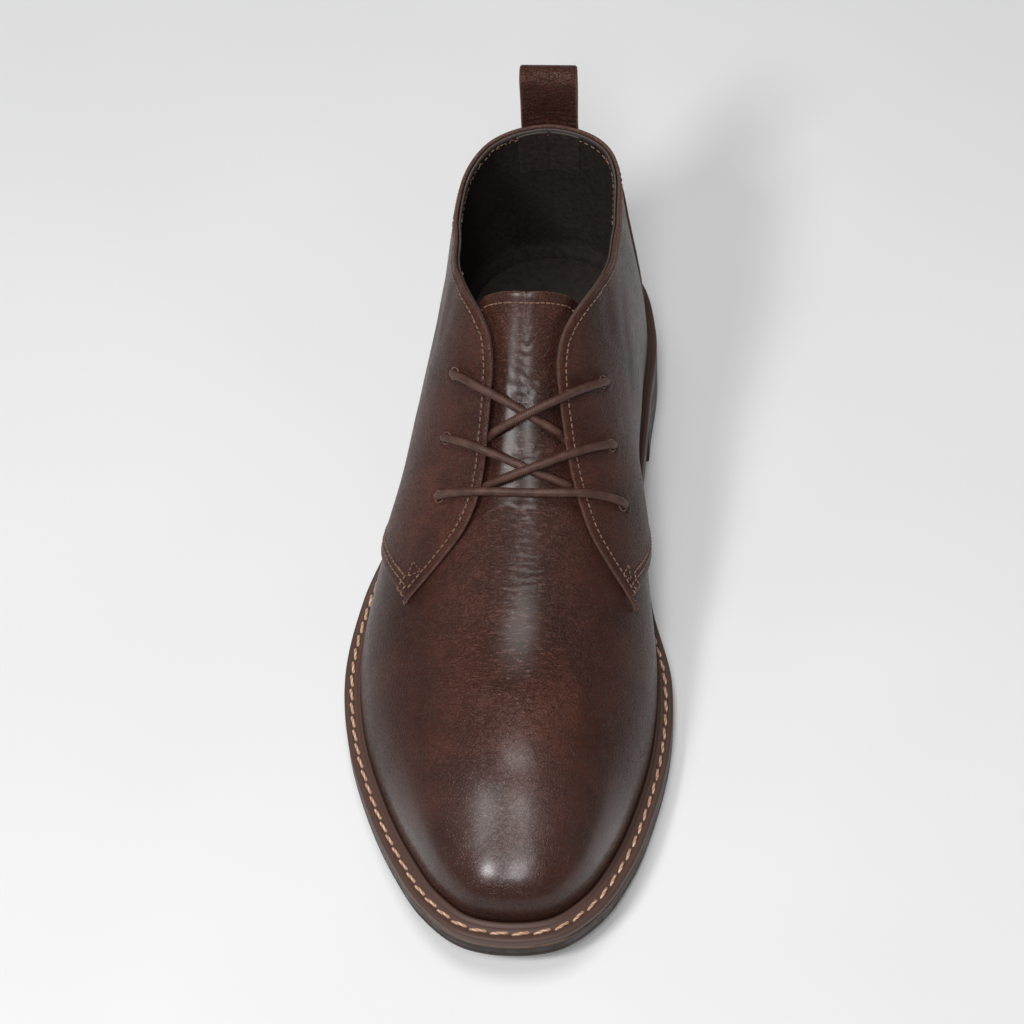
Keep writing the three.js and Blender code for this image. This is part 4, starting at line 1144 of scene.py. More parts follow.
def resampled(points, step, phase=0.5):
    """Evenly spread points along a line, with the direction there."""
    run = np.concatenate([[0], np.linalg.norm(np.diff(points, axis=0), axis=1).cumsum()])
    count = max(int(round(run[-1] / step)), 1)
    where = (np.arange(count) + phase) * run[-1] / count
    at = np.stack([np.interp(where, run, points[:, k]) for k in range(3)], 1)
    more = np.stack([np.interp(np.minimum(where + 0.3, run[-1]), run, points[:, k]) for k in range(3)], 1)
    less = np.stack([np.interp(np.maximum(where - 0.3, 0), run, points[:, k]) for k in range(3)], 1)
    ahead = more - less
    return at, ahead / np.maximum(np.linalg.norm(ahead, axis=1, keepdims=True), 1e-9)


def snapped(obj, points):
    """The nearest places on a piece, with its normals there."""
    bpy.context.view_layer.update()
    places = []
    normals = []
    for p in points:
        hit, place, normal, _ = obj.closest_point_on_mesh(Vector(p) * MM)
        places.append(np.array(place) / MM if hit else p)
        normals.append(np.array(normal) if hit else np.array([0, 0, 1.0]))
    return np.array(places), np.array(normals)


def stitches(places, ahead, normals, length, radius, slant=0.0, rise=0.35):
    """Short threads that arch out of the leather and dive back into it."""
    share = np.array([-1.0, -0.86, -0.55, 0.0, 0.55, 0.86, 1.0])
    thick = np.array([0.45, 0.85, 1.0, 1.0, 1.0, 0.85, 0.45]) * radius
    level = radius * (rise - 1.1 * share ** 4)
    sides = 8
    angle = np.linspace(-math.pi, math.pi, sides + 1)[:-1]
    along = share[:, None] * length / 2 + np.zeros(sides)
    across = thick[:, None] * np.sin(angle)
    up = thick[:, None] * np.cos(angle) + level[:, None]
    ends = np.array([[-length / 2 - radius * 0.3, 0, level[0]], [length / 2 + radius * 0.3, 0, level[-1]]])
    shape = np.concatenate([np.stack([along, across, up], -1).reshape(-1, 3), ends])
    faces = []
    for i in range(len(share) - 1):
        for j in range(sides):
            k = (j + 1) % sides
            faces.append([i * sides + j, (i + 1) * sides + j, (i + 1) * sides + k, i * sides + k])
    final = (len(share) - 1) * sides
    for j in range(sides):
        k = (j + 1) % sides
        faces.append([final + sides, j, k, k])
        faces.append([final + sides + 1, final + k, final + j, final + j])
    faces = np.array(faces)
    marks = np.concatenate([along.reshape(-1), ends[:, 0]])
    turns = np.concatenate([np.tile(angle, len(share)), [0, 0]])
    side = np.cross(normals, ahead)
    side /= np.maximum(np.linalg.norm(side, axis=1, keepdims=True), 1e-9)
    ahead = np.cross(side, normals)
    first = ahead * math.cos(slant) + side * math.sin(slant)
    second = side * math.cos(slant) - ahead * math.sin(slant)
    points = (places[:, None] + first[:, None] * shape[None, :, :1] + second[:, None] * shape[None, :, 1:2]
              + normals[:, None] * shape[None, :, 2:3])
    shift = np.arange(len(places))[:, None, None] * len(shape)
    count = len(places)
    return (points.reshape(-1, 3), (faces[None] + shift).reshape(-1, 4),
            np.tile(marks, count), np.tile(turns, count))


def joined(parts):
    """Several lists of points and faces as one."""
    points = np.concatenate([part[0] for part in parts])
    shift = np.cumsum([0] + [len(part[0]) for part in parts[:-1]])
    faces = np.concatenate([part[1] + k for part, k in zip(parts, shift)])
    along = np.concatenate([part[2] for part in parts])
    turn = np.concatenate([part[3] for part in parts])
    return points, faces, {"along": along, "round": turn}


def row_inside(obj, curve, inset, step, limit, guide=None):
    """Places for stitches at a distance inside an edge, which the others of the edge keep clear of."""
    ahead = np.gradient(curve, axis=0)
    ahead /= np.maximum(np.linalg.norm(ahead, axis=1, keepdims=True), 1e-9)
    _, normals = snapped(obj, curve)
    inward = np.cross(normals, ahead)
    inward /= np.maximum(np.linalg.norm(inward, axis=1, keepdims=True), 1e-9)
    moved = curve + inward * inset
    if guide is not None:
        toward = (guide - moved)
        flip = np.sign((inward * toward).sum(1, keepdims=True))
        moved = curve + inward * inset * flip
    gaps = np.linalg.norm(moved[:, None] - limit[None], axis=2).min(1)
    moved = moved[gaps > inset * 0.93]
    places, _ = resampled(moved, step)
    directions = resampled(moved, step)[1]
    places, normals = snapped(obj, places)
    return places, directions, normals


def tack(parts, piece, side):
    """The small sewn triangle inside the tip of a quarter."""
    corners = [(0.450, 0.40), (0.464, 0.48), (0.451, 0.72)]
    places = []
    for around, share in corners:
        turn = np.array([side * around])
        low = foot_run(turn)[0]
        high = top_run(turn)[0]
        rise = rise_at(turn, low + (high - low) * share)
        places.append((last(turn, rise) + normal_at(turn, rise) * QUARTER_WALL)[0])
    for k in range(3):
        line = np.linspace(places[k], places[(k + 1) % 3], 12)
        at, ahead = resampled(line, 1.9)
        at, normals = snapped(piece, at)
        parts.append(stitches(at, ahead, normals, 1.3, 0.22))


def thread_material(name, yarn, sheen, twist=1.0):
    if name in bpy.data.materials:
        return bpy.data.materials[name]
    made, n, shader = material(name)
    turned = n.math("MULTIPLY_ADD", n.attribute("along"), 3.4 * twist, n.math("MULTIPLY", n.attribute("round"), 1.0))
    ply = n.step(n.math("SINE", n.math("MULTIPLY", turned, 2.0)), -0.8, 0.9)
    place = n.add("ShaderNodeTexCoord").outputs["Object"]
    wear = n.noise(place, 700.0, 3.0)
    n.link(n.mix(n.math("MULTIPLY", ply, n.step(wear, 0.25, 0.7)), yarn, sheen), shader.inputs["Base Color"])
    n.link(n.step(wear, 0.2, 0.8, 0.45, 0.7), shader.inputs["Roughness"])
    bump(n, shader, n.math("MULTIPLY", ply, 0.14))
    return made


# Pull loop

def back_rows():
    offsets = np.linspace(-0.12, 0.12, 97)
    turns = wrap_turn(1 + offsets)
    v = np.linspace(0, 1, 161)
    turn_grid = np.repeat(turns[:, None], len(v), 1)
    rise = np.repeat(v[None], len(turns), 0)
    return last(turn_grid, rise) + normal_at(turn_grid, rise) * QUARTER_WALL


def loop_back(rows, across, height):
    """How far back the quarters' outside stands at distances across and one height."""
    xs = np.array([np.interp(height, row[:, 2], row[:, 0]) for row in rows])
    ys = np.array([np.interp(height, row[:, 2], row[:, 1]) for row in rows])
    return np.interp(AXIS_X + across, xs[::-1], ys[::-1])


def loop_path():
    """Middle line of the strap in its own section: out from the quarters, and up from the collar."""
    roll = LOOP_GAP / 2 + LOOP_LEATHER
    half = LOOP_LEATHER / 2
    crown = LOOP_RISE - roll
    belly = LOOP_RISE / 4
    front = [(half, h) for h in np.linspace(-LOOP_TAIL, crown, 60)]
    arc = [(roll - (roll - half) * math.cos(a), crown + (roll - half) * math.sin(a))
           for a in np.linspace(0, math.pi, 22)[1:-1]]
    bend = []
    for t in np.linspace(0, 1, 30):
        w = 1 - t
        x = w ** 3 * (2 * roll - half) + 3 * w * w * t * (2 * roll - half) + (3 * w * t * t + t ** 3) * 3 * half
        h = w ** 3 * crown + 3 * w * w * t * belly + 3 * w * t * t * belly
        bend.append((x, h))
    tail = [(3 * half, h) for h in np.linspace(0, -LOOP_TAIL, 22)[1:]]
    return np.array(front + arc + bend + tail)


def loop_piece(props):
    path = loop_path()
    run = np.concatenate([[0], np.linalg.norm(np.diff(path, axis=0), axis=1).cumsum()])
    where = np.linspace(0, run[-1], 150)
    path = np.stack([np.interp(where, run, path[:, k]) for k in range(2)], 1)
    ahead = np.gradient(path, axis=0)
    ahead /= np.linalg.norm(ahead, axis=1, keepdims=True)
    out = np.stack([-ahead[:, 1], ahead[:, 0]], 1)
    half_width = LOOP_WIDTH / 2
    half = LOOP_LEATHER / 2
    flat = np.linspace(-(half_width - half), half_width - half, 15)
    round_turns = np.linspace(0, math.pi, 7)[1:-1]
    round_end = [(half_width - half + half * math.sin(a), half * math.cos(a)) for a in round_turns]
    section = [(a, half) for a in flat] + round_end
    section += [(a, -half) for a in flat[::-1]] + [(-a, -o) for a, o in round_end]
    section = np.array(section)
    rows = back_rows()
    rise = rise_at(np.array([1.0]), top_run(np.array([1.0])))
    collar = last(np.array([1.0]), rise)[0, 2]
    straight = loop_back(rows, LOOP_OFFSET, collar)
    points = np.empty((len(path), len(section), 3))
    crease_rows = [(2.2, 0.30, 0.7), (4.4, 0.34, 0.8), (7.0, 0.22, 0.9)]
    for i in range(len(path)):
        offset = section[:, 1].copy()
        for height, depth, width in crease_rows:
            wave = path[i, 1] - height - 0.35 * np.sin(section[:, 0] * 0.55 + height)
            if path[i, 0] < LOOP_LEATHER:
                pressed = -depth * np.exp(-(wave / width) ** 2)
                offset += np.where(offset > 0, pressed, 0) * np.sign(out[i, 0] * -1 or 1)
        x = path[i, 0] + out[i, 0] * offset
        h = path[i, 1] + out[i, 1] * offset
        back = loop_back(rows, LOOP_OFFSET + section[:, 0], collar + min(path[i, 1], 0))
        share = smooth_step(h / (LOOP_RISE / 2))
        points[i, :, 0] = AXIS_X + LOOP_OFFSET + section[:, 0]
        points[i, :, 1] = back + (straight - back) * share + 0.12 + x
        points[i, :, 2] = collar + h
    n, m = points.shape[:2]
    i, j = np.meshgrid(np.arange(n - 1), np.arange(m), indexing="ij")
    k = (j + 1) % m
    faces = np.stack([i * m + j, (i + 1) * m + j, (i + 1) * m + k, i * m + k], -1).reshape(-1, 4)
    caps = []
    for base, flip in ((0, False), ((n - 1) * m, True)):
        for a in range(m // 2 - 1):
            quad = [base + a, base + a + 1, base + (m - 2 - a), base + (m - 1 - a)]
            caps.append(quad[::-1] if flip else quad)
    faces = np.concatenate([faces, np.array(caps)])
    edge = half_width - np.abs(section[:, 0])
    edge = np.where(np.abs(section[:, 1]) < half * 0.92, -0.6 * (edge < half), edge)
    edge = np.repeat(edge[None], n, 0)
    # painted shade, darker toward the loop's foot
    low = np.clip(1 - (points[..., 2] - collar) / 12.0, 0, 1)
    values = {"edge": edge.reshape(-1), "burnish_and_shade": 0.45 * low.reshape(-1), "crease": np.full(n * m, 0.35)}
    skin = leather("loop_leather", props, seam=80.0, tint=1.1, grain=1.2)
    obj = mesh_object("pull_loop", points.reshape(-1, 3), faces, values, skin)
    return finished(obj, "upper_leather", "pull_loop")


# Lace

def over_last(turn, far, height):
    """Points at distances from the ridge along the ribs, lifted off the last."""
    whole = rib_run(turn)[1][:, -1]
    rise = rise_at(turn, whole - far)
    return last(turn, rise) + normal_at(turn, rise) * np.asarray(height)[..., None]


LACE_OVER = QUARTER_WALL + GAP
LACE_LOW = GAP - TONGUE_DROP
LACE_PARTS = 90


def dive(start, height, turn_radius, count=9):
    """Distances and heights of a lace that turns down into its eyelet."""
    a = np.linspace(0, math.pi / 2, count)
    far = start + 0.4 - turn_radius * (1 - np.cos(a))
    lift = height - turn_radius * (1 - np.sin(a))
    return np.concatenate([[start + 0.4], far]), np.concatenate([[-1.4], lift])


def eyelet_far(index, side):
    around, lateral, medial = EYELET_ROWS[index]
    return float(FACING(around)["far"]) * BALL_WIDTH + EYELET_INSET * (lateral if side < 0 else medial)


def smoothed(points, times):
    points = points.copy()
    for _ in range(times):
        points[1:-1] = 0.5 * points[1:-1] + 0.25 * (points[:-2] + points[2:])
    return points


def taut(line, radius, pieces, laid, held):
    """A lace line pulled straight over the leather and over the laces that lie below it."""
    line = line.copy()
    first, final = held
    body = slice(first, len(line) - final)
    for _ in range(14):
        line[body] = smoothed(line, 6)[body]
        for piece in pieces:
            places, normals = snapped(piece, line[body])
            up = ((line[body] - places) * normals).sum(1)
            near = np.linalg.norm(line[body] - places, axis=1) < 3 * radius
            lift = np.where(near, np.clip(radius + 0.08 - up, 0, 0.8), 0)
            line[body] += normals * lift[:, None]
        for other in laid:
            away = line[body][:, None] - other[None]
            far = np.linalg.norm(away, axis=2)
            low = far.min(1)
            push = np.clip(2 * radius - low, 0, 0.5)
            line[body] += np.array([0, -0.45, 0.89]) * push[:, None]
    return smoothed(line, 2)


def lace_piece(name, line, radius, skin, node=None):
    obj = tube(name, line, radius, 20, skin, "lace_cord")
    if node:
        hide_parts(node)
    return obj


def lace_lines(radius):
    """Middle lines of the bar and of the four runs, outer side first."""
    over = LACE_OVER + radius
    low_level = LACE_LOW + radius
    lines = []
    start = eyelet_far(0, -1)
    end = eyelet_far(0, 1)
    around0 = EYELET_ROWS[0][0]
    edge = float(FACING(around0)["far"]) * BALL_WIDTH
    first_far, first_up = dive(start, over, 2.3)
    last_far, last_up = dive(end, over, 2.3)
    across = np.concatenate([-first_far, np.linspace(-start + 2.6, end - 2.6, LACE_PARTS), last_far[::-1]])
    between = low_level + (over - low_level) * (1 - smooth_step((edge - np.abs(across)) / edge))
    height = between.copy()
    height[:len(first_up)] = first_up
    height[-len(last_up):] = last_up[::-1]
    bow = 0.009 * smooth_step(1 - np.abs(across) / end)
    turn = np.where(across < 0, -1, 1) * (around0 - bow)
    lines.append(over_last(turn, np.abs(across), height))
    for row, meets in CROSSING_ROWS:
        for side, lift in ((-1, 0.0), (1, 0.88 * 2 * radius)):
            around0 = EYELET_ROWS[row][0]
            start = eyelet_far(row, side)
            end = float(FACING(meets)["far"]) * BALL_WIDTH - 1.2
            under = 5.0
            far, up = dive(start, over, 2.3)
            across = np.concatenate([far, np.linspace(start - 2.6, -end - under, LACE_PARTS)])
            share = (start - across) / (start + end)
            around = around0 + (meets - around0) * share - 0.009 * smooth_step(1 - np.abs(across) / start)
            edge = FACING(around)["far"] * BALL_WIDTH
            low = low_level + lift * smooth_step(1 + across / end)
            height = low + (over - low) * (1 - smooth_step((edge - across) / 7.0))
            sink = smooth_step((-across - end + 1.6) / 2.6)
            height = height - sink * (height + 1.55)
            height[:len(up)] = up
            turn = side * np.where(across < 0, -1, 1) * around
            lines.append(over_last(turn, np.abs(across), height))
    return lines


# Sole

def sole_ring(turns, inset, height):
    x, y, _, _ = outline_point(turns, inset)
    z = height(y) if callable(height) else height
    return np.stack([x, y, z + np.zeros_like(x)], -1)


def ring_mesh(rings, closed=False, cap_first=False, cap_last=False):
    """Quads between rings of points; caps run from side to side."""
    levels = len(rings)
    count = len(rings[0])
    i, j = np.meshgrid(np.arange(levels if closed else levels - 1), np.arange(count), indexing="ij")
    k = (j + 1) % count
    up = (i + 1) % levels
    faces = [np.stack([i * count + j, i * count + k, up * count + k, up * count + j], -1).reshape(-1, 4)]
    for wanted, base, flip in ((cap_first, 0, True), (cap_last, (levels - 1) * count, False)):
        if not wanted:
            continue
        caps = []
        a, b = 0, count - 1
        while a + 1 < b - 1:
            quad = [base + a, base + a + 1, base + b - 1, base + b]
            caps.append(quad[::-1] if flip else quad)
            a += 1
            b -= 1
        faces.append(np.array(caps))
    return np.concatenate(rings), np.concatenate(faces)


def sole_turns(half):
    one = np.linspace(0, 1, half + 1)
    return np.concatenate([-one[1:][::-1], one[:-1]])


def sole_edge_material(name, dark, light, line, specular=0.25):
    """Burnished rubber or leather edge: fine layers along the sole, scuffs, and a painted highlight along the edges
    marked by rim, broken up by the scuffs.
    """
    if name in bpy.data.materials:
        return bpy.data.materials[name]
    made, n, shader = material(name)
    place = n.add("ShaderNodeTexCoord").outputs["Object"]
    layers = n.noise(n.stretched(place, (40.0, 40.0, 1500.0)), 1.0, 3.0, 0.6)
    scuff = n.noise(place, 160.0, 5.0, 0.65)
    share = n.math("MULTIPLY_ADD", layers, 0.5, n.math("MULTIPLY", scuff, 0.5))
    colour = n.mix(n.step(share, 0.38, 0.64), dark + (1,), light + (1,))
    # painted highlight: the line colour along the rims, broken up by scuff noise
    colour = n.mix(n.math("MULTIPLY", n.attribute("rim"), n.step(scuff, 0.3, 0.6, 0.4, 1.0)), colour, line + (1,))
    n.link(colour, shader.inputs["Base Color"])
    n.link(n.step(scuff, 0.3, 0.7, 0.38, 0.62), shader.inputs["Roughness"])
    bump(n, shader, n.math("MULTIPLY", share, 0.10))
    shader.inputs["Specular IOR Level"].default_value = specular
    return made


def outsole_piece(props):
    turns = sole_turns(150)
    # third value: share of the painted highlight line along the top edge
    sections = [(0.9, lambda y: underside(y), 0), (0.35, lambda y: underside(y) + 0.25, 0),
                (0.0, lambda y: underside(y) + 1.0, 0), (0.0, lambda y: underside(y) + 2.4, 0),
                (0.12, lambda y: underside(y) + 2.75, 0), (0.0, lambda y: underside(y) + 3.1, 0),
                (0.0, lambda y: outsole_top(y) - 1.5, 0.0), (0.02, lambda y: outsole_top(y) - 0.55, 0.8),
                (0.25, lambda y: outsole_top(y) - 0.12, 1.0), (0.75, outsole_top, 0.6), (4.0, outsole_top, 0)]
    rings = [sole_ring(turns, inset, height) for inset, height, _ in sections]
    points, faces = ring_mesh(rings, cap_first=True, cap_last=True)
    rim = np.repeat([s[2] for s in sections], len(turns)).astype(float)
    skin = sole_edge_material("outsole_rubber", props.sole_dark[:3], props.sole_light[:3], props.sole_painted_highlight[:3])
    obj = mesh_object("outsole_edge", points, faces, {"rim": rim}, skin)
    return finished(obj, "sole_rubber", "outsole")


def turn_at_share(share, side):
    low, high = 0.3, 0.95
    for _ in range(40):
        middle = (low + high) / 2
        y = outline_point(np.array([side * middle]), 0.0)[1][0]
        if share_at(y) > share:
            high = middle
        else:
            low = middle
    return low


def heel_piece(props):
    breast = 1 - HEEL_LENGTH / SOLE_LENGTH
    outer = turn_at_share(breast, -1)
    inner = turn_at_share(breast, 1)
    t = np.linspace(0, 1, 70)
    turns = np.concatenate([-(outer + (1 - outer) * t), (inner + (1 - inner) * t)[::-1][1:]])[::-1]
    under = lambda y: underside(y) - GAP
    levels = [(1.6, lambda y: 0 * y), (0.55, lambda y: 0 * y + 0.18), (0.05, lambda y: 0 * y + 0.9),
              (0.0, lambda y: 0 * y + 2.0)]
    for k in (0.30, 0.335, 0.37, 0.62, 0.655, 0.69, 0.93):
        inset = 0.16 if k in (0.335, 0.655) else 0.0
        levels.append((inset, lambda y, k=k: under(y) * k))
    levels.append((0.35, under))
    rings = [sole_ring(turns[::-1], inset, height) for inset, height in levels]
    points, faces = ring_mesh(rings, cap_first=True, cap_last=True)
    skin = sole_edge_material("heel_rubber", props.sole_dark[:3], props.sole_light[:3], props.sole_painted_highlight[:3])
    obj = mesh_object("heel_block", points, faces, {"rim": np.zeros(len(points))}, skin)
    return finished(obj, "sole_rubber", "heel")


def welt_piece(props):
    turns = sole_turns(300)
    reach = reach_at(turns)
    top = lambda rise: (lambda y: seat(y) + rise)
    bottom = lambda rise: (lambda y: welt_bottom(y) + rise)
    sections = [
        (0.9 + 0 * reach, bottom(0.0)), (0.2 + 0 * reach, bottom(0.18)), (0 * reach, bottom(0.7)),
        (0 * reach, top(-1.1)), (0.12 + 0 * reach, top(-0.45)), (0.5 + 0 * reach, top(-0.1)),
        (0.16 * reach, top(0.0)), (0.26 * reach, top(0.0)), (0.33 * reach, top(-0.2)), (0.42 * reach, top(-0.45)),
        (0.51 * reach, top(-0.2)), (0.58 * reach, top(0.08)), (0.66 * reach, top(0.10)), (0.72 * reach, top(0.05)),
        (0.78 * reach, top(0.55)), (0.87 * reach, top(0.85)), (0.95 * reach, top(0.6)), (1.0 * reach, top(0.0)),
        (reach + 1.2, top(-0.5)), (reach + 1.2, bottom(0.0)),
    ]
    rings = [sole_ring(turns, inset, height) for inset, height in sections]
    points, faces = ring_mesh(rings, closed=True)
    far = np.concatenate([inset + 0 * turns for inset, _ in sections])
    # painted highlight on the welt's outer edge, its lower edge and the bead ridge
    rim = np.repeat([0.3, 0.7, 0.2, 0.2, 1.0, 0.9, 0.3, 0, 0, 0, 0, 0, 0, 0, 0.25, 0.6, 0.25, 0, 0, 0], len(turns))
    skin = sole_edge_material("welt_leather", props.welt_dark[:3], props.welt_light[:3], props.welt_painted_highlight[:3], 0.6)
    obj = mesh_object("welt_strip", points, faces, {"rim": rim, "edge": far}, skin)
    return finished(obj, "welt_leather", "welt")


def welt_stitches(props):
    """The sewing on the welt: thick short threads, longer at the toe."""
    run = np.arange(0, WHOLE_RUN, 0.5)
    turns = np.where(run <= HEEL_RUN, run / HEEL_RUN, (run - WHOLE_RUN) / (WHOLE_RUN - HEEL_RUN))
    inset = 0.42 * reach_at(turns)
    line = sole_ring(turns, inset, lambda y: seat(y) - 0.42)
    line = np.concatenate([line, line[:1]])
    length = np.concatenate([[0], np.linalg.norm(np.diff(line, axis=0), axis=1).cumsum()])
    around = np.abs(np.append(turns, 0.0))
    pitch = 5.6 + 1.6 * np.exp(-(around / 0.13) ** 2)
    count_run = np.concatenate([[0], np.cumsum(np.diff(length) / pitch[:-1])])
    count = int(round(count_run[-1]))
    where = (np.arange(count) + 0.5) * count_run[-1] / count
    at = np.stack([np.interp(where, count_run, line[:, k]) for k in range(3)], 1)
    more = np.stack([np.interp(where + 0.05, count_run, line[:, k]) for k in range(3)], 1)
    size = np.interp(where, count_run, pitch) * 0.86
    ahead = more - at
    ahead /= np.linalg.norm(ahead, axis=1, keepdims=True)
    flat = np.stack([ahead[:, 1], -ahead[:, 0], 0 * ahead[:, 0]], -1)
    normals = np.cross(flat, ahead)
    normals *= np.sign(normals[:, 2:3])
    parts = []
    for k in range(count):
        if share_at(at[k, 1]) > WELT_SEWN:
            continue
        parts.append(stitches(at[k:k + 1], ahead[k:k + 1], normals[k:k + 1], size[k], 0.56, 0.13, 0.85))
    points, faces, values = joined(parts)
    skin = thread_material("welt_thread", props.welt_thread, props.welt_thread_light, 0.35)
    return finished(mesh_object("welt_stitching", points, faces, values, skin), "welt_leather")


def heel_strip_piece(props):
    """The strip that covers the back seam inside the shaft."""
    offsets = np.linspace(0.033, -0.033, 41)
    turns = wrap_turn(1 + offsets)
    tops = top_run(turns) - 1.0
    share = np.linspace(0, 1, 40)
    run_grid = tops[:, None] - 25.0 * (1 - share[None])
    v, runs, _ = rib_run(turns)
    rise = np.array([np.interp(run_grid[i], runs[i], v) for i in range(len(turns))])
    turn_grid = np.repeat(turns[:, None], len(share), 1)
    points = last(turn_grid, rise)
    normals = normal_at(turn_grid, rise)
    across = offsets[:, None] * np.ones(len(share)) * 335.0
    seam = 0.35 * np.exp(-(across / 0.7) ** 2)
    points = points - normals * (LINING_WALL - 0.1 - seam)[..., None]
    edge = np.minimum(11.0 - np.abs(across), 25.0 * share[None])
    grid = Grid(points, edge=edge)
    points, faces, values = shelled(grid, 0.8, 4)
    skin = noisy("heel_strip_leather", (0.026, 0.019, 0.016), (0.062, 0.046, 0.038), 480.0, (0.45, 0.65), 0.05)
    return finished(mesh_object("heel_strip", points, faces, values, skin), "insole_leather")


# Panel, properties and operators

def colour_property(name, text, value):
    return bpy.props.FloatVectorProperty(name=name, description=text, subtype="COLOR", size=4,
                                         min=0.0, max=1.0, default=value)


class BootLeather(bpy.types.PropertyGroup):
    """Colours and grain of the upper's leathers"""
    # Deep is also the painted shade in grooves, crease troughs, stitch furrows, near the sole, on the sides and low
    # on the back
    deep: colour_property("Deep", "Darkest tone, in grooves and burnished places", (0.022, 0.008, 0.006, 1))
    base: colour_property("Base", "Main tone", (0.055, 0.0185, 0.0118, 1))
    warm: colour_property("Warm", "Reddish lighter tone in patches and on worn edges", (0.104, 0.034, 0.020, 1))
    cut: colour_property("Cut edge", "Raw edge of the leather", (0.115, 0.056, 0.042, 1))
    grain: bpy.props.FloatProperty(name="Grain", description="Strength of pores and wrinkles", default=1.0,
                                   min=0.0, max=3.0, subtype="FACTOR")
    wrinkle: bpy.props.FloatProperty(name="Wrinkle", description="Strength of the folds across the foot",
                                     default=1.0, min=0.0, max=3.0, subtype="FACTOR")
    crease_depth: bpy.props.FloatProperty(name="Crease depth", description="Scale of the creases set by hand",
                                          default=1.0, min=0.0, max=3.0, subtype="FACTOR")


class BootSole(bpy.types.PropertyGroup):
    """Colours of the sole, welt and threads"""
    sole_dark: colour_property("Sole, dark", "Darker tone of the sole's edge", (0.016, 0.008, 0.006, 1))
    sole_light: colour_property("Sole, light", "Lighter tone of the sole's edge", (0.036, 0.018, 0.013, 1))
    # the sole's line colour is a painted highlight along the top of its edge
    sole_painted_highlight: colour_property("Sole, line", "Worn top line of the sole's edge", (0.20, 0.13, 0.10, 1))
    welt_dark: colour_property("Welt, dark", "Darker tone of the welt", (0.026, 0.011, 0.008, 1))
    welt_light: colour_property("Welt, light", "Lighter tone of the welt", (0.050, 0.021, 0.014, 1))
    # the welt's line colour is a painted highlight along its edges and bead
    welt_painted_highlight: colour_property("Welt, line", "Worn edge of the welt", (0.18, 0.105, 0.075, 1))
    welt_thread: colour_property("Welt thread", "Thread of the welt", (0.52, 0.28, 0.175, 1))
    welt_thread_light: colour_property("Welt thread, light", "Lit strands of the welt's thread",
                                       (0.90, 0.68, 0.50, 1))
    seam_thread: colour_property("Seam thread", "Thread of the upper's seams", (0.15, 0.075, 0.048, 1))
    seam_thread_light: colour_property("Seam thread, light", "Lit strands of the upper's thread",
                                       (0.50, 0.29, 0.20, 1))


class BootLace(bpy.types.PropertyGroup):
    """Size and colours of the lace"""
    diameter: bpy.props.FloatProperty(name="Diameter", description="Thickness of the round lace", default=0.003,
                                      min=0.001, max=0.006, unit="LENGTH", subtype="DISTANCE")
    yarn: colour_property("Yarn", "Yarn in the grooves", (0.066, 0.029, 0.020, 1))
    # Sheen: painted highlight on the braid's raised tops
    sheen: colour_property("Sheen", "Waxed tops of the braid", (0.165, 0.085, 0.062, 1))


class BootStage(bpy.types.PropertyGroup):
    """Camera and light"""
    lens: bpy.props.FloatProperty(name="Lens", description="Focal length on a 36 mm frame", default=130.08,
                                  min=20.0, max=400.0, unit="CAMERA")
    key: bpy.props.FloatProperty(name="Key light", description="Power of the main soft light", default=7.4,
                                 min=0.0, max=200.0, unit="POWER")
    overhead: bpy.props.FloatProperty(name="Overhead light", description="Power of the soft light above",
                                      default=7.4, min=0.0, max=200.0, unit="POWER")
    front: bpy.props.FloatProperty(name="Front light", description="Power of the strip above the camera",
                                   default=6.0, min=0.0, max=200.0, unit="POWER")
    fill: bpy.props.FloatProperty(name="Fill light", description="Power of the soft light opposite", default=0.06,
                                  min=0.0, max=200.0, unit="POWER")


class BOOT_OT_vamp(bpy.types.Operator):
    """Make the vamp and tongue"""
    bl_idname = "boot.vamp"
    bl_label = "Vamp and tongue"

    def execute(self, context):
        vamp_piece(context.scene.boot_leather)
        return {"FINISHED"}


class BOOT_OT_quarters(bpy.types.Operator):
    """Make the quarters and the counter"""
    bl_idname = "boot.quarters"
    bl_label = "Quarters and counter"

    def execute(self, context):
        quarters_piece(context.scene.boot_leather)
        counter_piece(context.scene.boot_leather)
        return {"FINISHED"}


class BOOT_OT_lining(bpy.types.Operator):
    """Make the lining of the shaft, its edge and the strip at the heel"""
    bl_idname = "boot.lining"
    bl_label = "Lining"

    def execute(self, context):
        lining_piece(context.scene.boot_leather)
        collar_edge_piece(context.scene.boot_leather)
        heel_strip_piece(context.scene.boot_leather)
        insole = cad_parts["insole"]
        skin = noisy("sock_leather", (0.014, 0.009, 0.007), (0.036, 0.023, 0.017), 420.0, (0.5, 0.7), 0.06)
        for place in insole.material_slots:
            place.material = skin
        if not insole.material_slots:
            insole.data.materials.append(skin)
        return {"FINISHED"}


class BOOT_OT_loop(bpy.types.Operator):
    """Make the pull loop at the back of the collar"""
    bl_idname = "boot.loop"
    bl_label = "Pull loop"

    def execute(self, context):
        loop_piece(context.scene.boot_leather)
        return {"FINISHED"}


